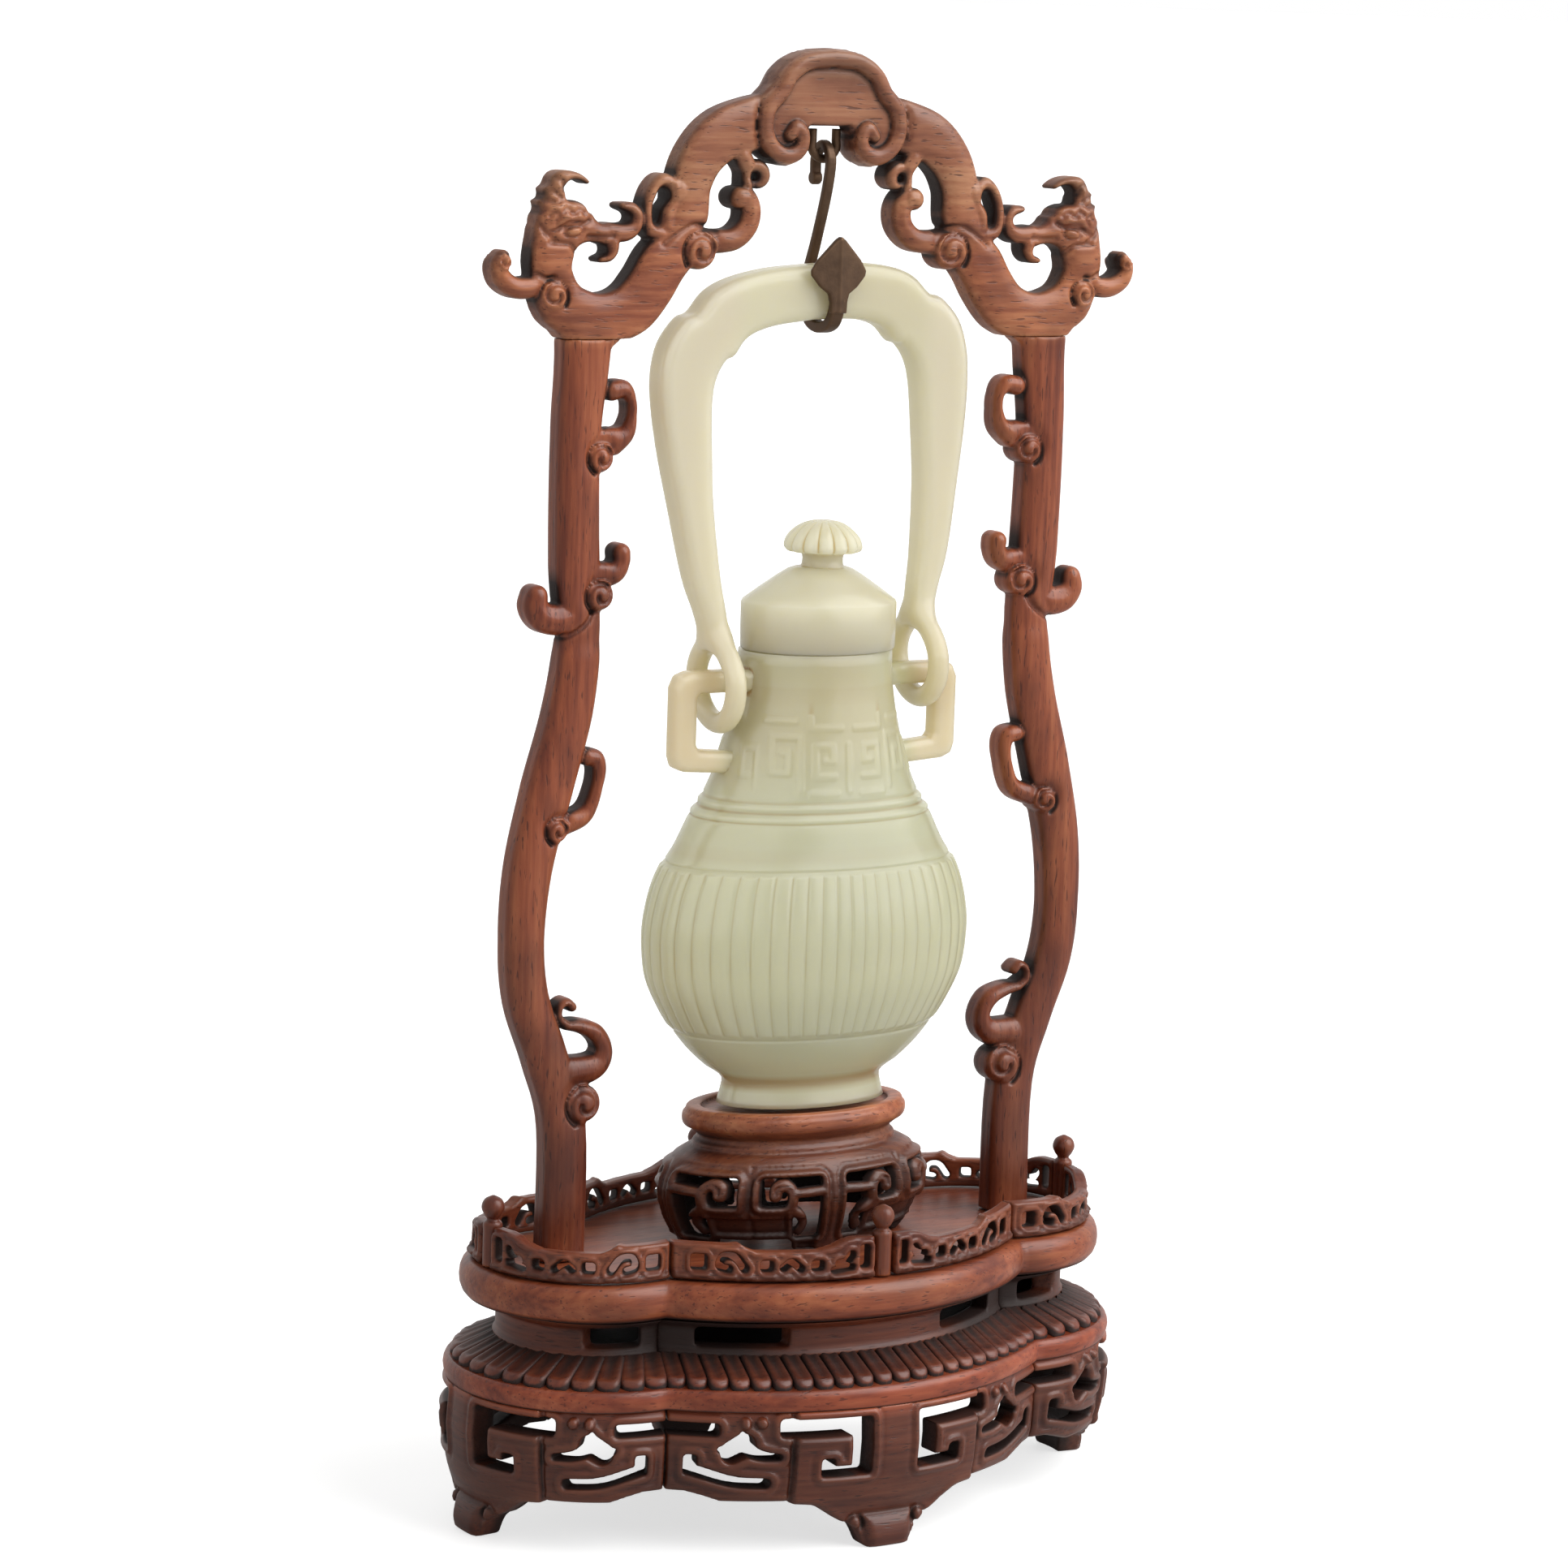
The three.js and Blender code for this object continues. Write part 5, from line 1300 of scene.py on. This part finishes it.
# Staple. A short bronze wire is bent to a U and driven into the underside of the ruyi head.
# The hook's crook hangs on its bar.
STAPLE_HALF = 2.3
STAPLE_Y = 1.2
STAPLE_BAR = 228.6
STAPLE_END = 233.4
STAPLE_WIRE = 0.75
staple_path = spline([
    (-STAPLE_HALF, STAPLE_END), (-STAPLE_HALF, 231.5), (-STAPLE_HALF, STAPLE_BAR + 1.4), (-1.0, STAPLE_BAR),
    (1.0, STAPLE_BAR), (STAPLE_HALF, STAPLE_BAR + 1.4), (STAPLE_HALF, 231.5), (STAPLE_HALF, STAPLE_END),
], 5)
heading = np.gradient(staple_path, axis=0)
heading /= np.linalg.norm(heading, axis=1)[:, None]
turn = np.linspace(0, 2 * math.pi, 12, endpoint=False)
staple_rings = np.array([
    np.stack([
        HOOK_X + x - hz * STAPLE_WIRE * np.cos(turn),
        STAPLE_Y + STAPLE_WIRE * np.sin(turn),
        z + hx * STAPLE_WIRE * np.cos(turn),
    ], axis=1)
    for (x, z), (hx, hz) in zip(staple_path, heading)
])
staple_points, staple_faces = loft(staple_rings)
staple = add_piece("wire_staple", staple_points, staple_faces)
note_hollows(staple, 2)
fit(staple, bronze, "bronze", "staple")

# Studio. A white paper table in a dim tent with a white backdrop, and a broad light in front on the right.
# Softer lights on both sides are masked to the jade, so that it glows without flattening the carved wood.
# The camera stands 31 degrees round to the left, a little higher than the crest, as for the photograph.
TABLE_WIDE = 400.0
table_mesh = bpy.data.meshes.new("table")
corner = TABLE_WIDE / 2
table_mesh.from_pydata(
    [(-corner, -corner, 0), (corner, -corner, 0), (corner, corner, 0), (-corner, corner, 0)],
    [], [(0, 1, 2, 3)],
)
table = in_scene("table", table_mesh)
paper, paper_tree, paper_shader = new_finish("white_paper")
grain_place = add_node(paper_tree, "ShaderNodeTexCoord").outputs["Object"]
# Cloudy spots in the paper, some 17 mm wide
fibre = add_node(paper_tree, "ShaderNodeTexNoise", {"Vector": grain_place, "Scale": 60.0})
white = add_node(
    paper_tree, "ShaderNodeMix", {0: fibre.outputs[0], 6: linear("#bcbcbb"), 7: linear("#c0c0bf")},
    data_type="RGBA",
)
paper_tree.links.new(white.outputs[2], paper_shader.inputs["Base Color"])
paper_shader.inputs["Roughness"].default_value = 0.6
paper_shader.inputs["Emission Color"].default_value = (1, 1, 1, 1)
# Only the camera sees the paper lit so brightly; the wood above it gets little light back
paper_seen = add_node(paper_tree, "ShaderNodeLightPath").outputs["Is Camera Ray"]
paper_glow = add_node(paper_tree, "ShaderNodeMapRange", {0: paper_seen, 3: 0.08, 4: 0.68})
paper_tree.links.new(paper_glow.outputs[0], paper_shader.inputs["Emission Strength"])
table_mesh.materials.append(paper)

world = bpy.data.worlds.new("tent")
bpy.context.scene.world = world
world.use_nodes = True
sky = world.node_tree
heading = add_node(sky, "ShaderNodeTexCoord").outputs["Generated"]
rise = add_node(sky, "ShaderNodeSeparateXYZ", {0: heading}).outputs["Z"]
glow = add_node(sky, "ShaderNodeMapRange", {0: rise, 1: 0.2, 2: 1.0, 3: 0.14, 4: 0.5})
# The backdrop stands behind the object from where the camera is, and is plain white to the eye
BACKDROP_SIDE = (0.515, 0.857, 0.0)
toward_backdrop = add_node(
    sky, "ShaderNodeVectorMath", {0: heading, 1: BACKDROP_SIDE}, operation="DOT_PRODUCT"
)
backdrop = add_node(sky, "ShaderNodeMapRange", {0: toward_backdrop.outputs["Value"], 1: 0.35, 2: 0.85})
seen = add_node(sky, "ShaderNodeLightPath").outputs
mirrored = add_node(sky, "ShaderNodeMath", {0: seen["Is Glossy Ray"], 1: 0.75}, operation="MULTIPLY")
white_share = add_node(
    sky, "ShaderNodeMath", {0: mirrored.outputs[0], 1: seen["Is Camera Ray"]}, operation="MAXIMUM"
)
white_share = add_node(
    sky, "ShaderNodeMath", {0: backdrop.outputs[0], 1: white_share.outputs[0]}, operation="MAXIMUM"
)
tent = add_node(sky, "ShaderNodeMix", {0: white_share.outputs[0], 2: glow.outputs[0], 3: 1.0})
sky.links.new(tent.outputs[0], sky.nodes["Background"].inputs["Color"])
sky.nodes["Background"].inputs["Strength"].default_value = 1.0


def axes_at(place, right, up, back):
    """Matrix of a lamp or camera at a place, from its own axes."""
    return Matrix([[right[i], up[i], back[i], place[i]] for i in range(3)] + [[0, 0, 0, 1]])


jade_pieces, other_pieces = (bpy.data.collections.new(name) for name in ("jade_pieces", "other_pieces"))
for thing in bpy.context.scene.collection.objects:
    (jade_pieces if thing in (vase, cover, bail) else other_pieces).objects.link(thing)
# Each lamp: name, the way it lies from the object, strength, spread in degrees, and the pieces that it lights
LAMPS = [
    ("right_screen", (0.6, -0.62, 0.72), 3.3, 55, other_pieces),
    ("jade_right", (0.6, -0.62, 0.5), 2.1, 75, jade_pieces),
    ("jade_left", (-0.8, -0.3, 0.3), 2.1, 110, jade_pieces),
]
for name, place, strength, spread, lit in LAMPS:
    screen = bpy.data.lights.new(name, "SUN")
    screen.energy = strength
    screen.angle = math.radians(spread)
    screen_light = in_scene(name, screen)
    screen_light.light_linking.receiver_collection = lit
    back = np.array(place) / np.linalg.norm(place)
    right = np.cross((0, 0, 1), back)
    right = right / np.linalg.norm(right)
    screen_light.matrix_world = axes_at(place, right, np.cross(back, right), back)

CAMERA_AZIMUTH = math.radians(-31.0112)
CAMERA_ELEVATION = math.radians(9.0557)
CAMERA_ROLL = math.radians(1.9454)
CAMERA_AWAY = 840.391
CAMERA_AIM = (-3.4663, 0.0, 123.4273)
SENSOR_WIDE = 36.0
LENS_LONG = 114.13
camera_back = np.array([
    math.sin(CAMERA_AZIMUTH) * math.cos(CAMERA_ELEVATION),
    -math.cos(CAMERA_AZIMUTH) * math.cos(CAMERA_ELEVATION),
    math.sin(CAMERA_ELEVATION),
])
level = np.array([math.cos(CAMERA_AZIMUTH), math.sin(CAMERA_AZIMUTH), 0])
upward = np.cross(camera_back, level)
camera_right = math.cos(CAMERA_ROLL) * level + math.sin(CAMERA_ROLL) * upward
camera_up = -math.sin(CAMERA_ROLL) * level + math.cos(CAMERA_ROLL) * upward
camera_place = (np.array(CAMERA_AIM) + camera_back * CAMERA_AWAY) * MM
lens = bpy.data.cameras.new("photograph_view")
lens.sensor_width = SENSOR_WIDE
lens.lens = LENS_LONG
lens.clip_start = 0.01
lens.clip_end = 500
camera = in_scene("photograph_view", lens)
camera.matrix_world = axes_at(camera_place, camera_right, camera_up, camera_back)
bpy.context.scene.camera = camera
bpy.context.scene.view_settings.view_transform = "Standard"
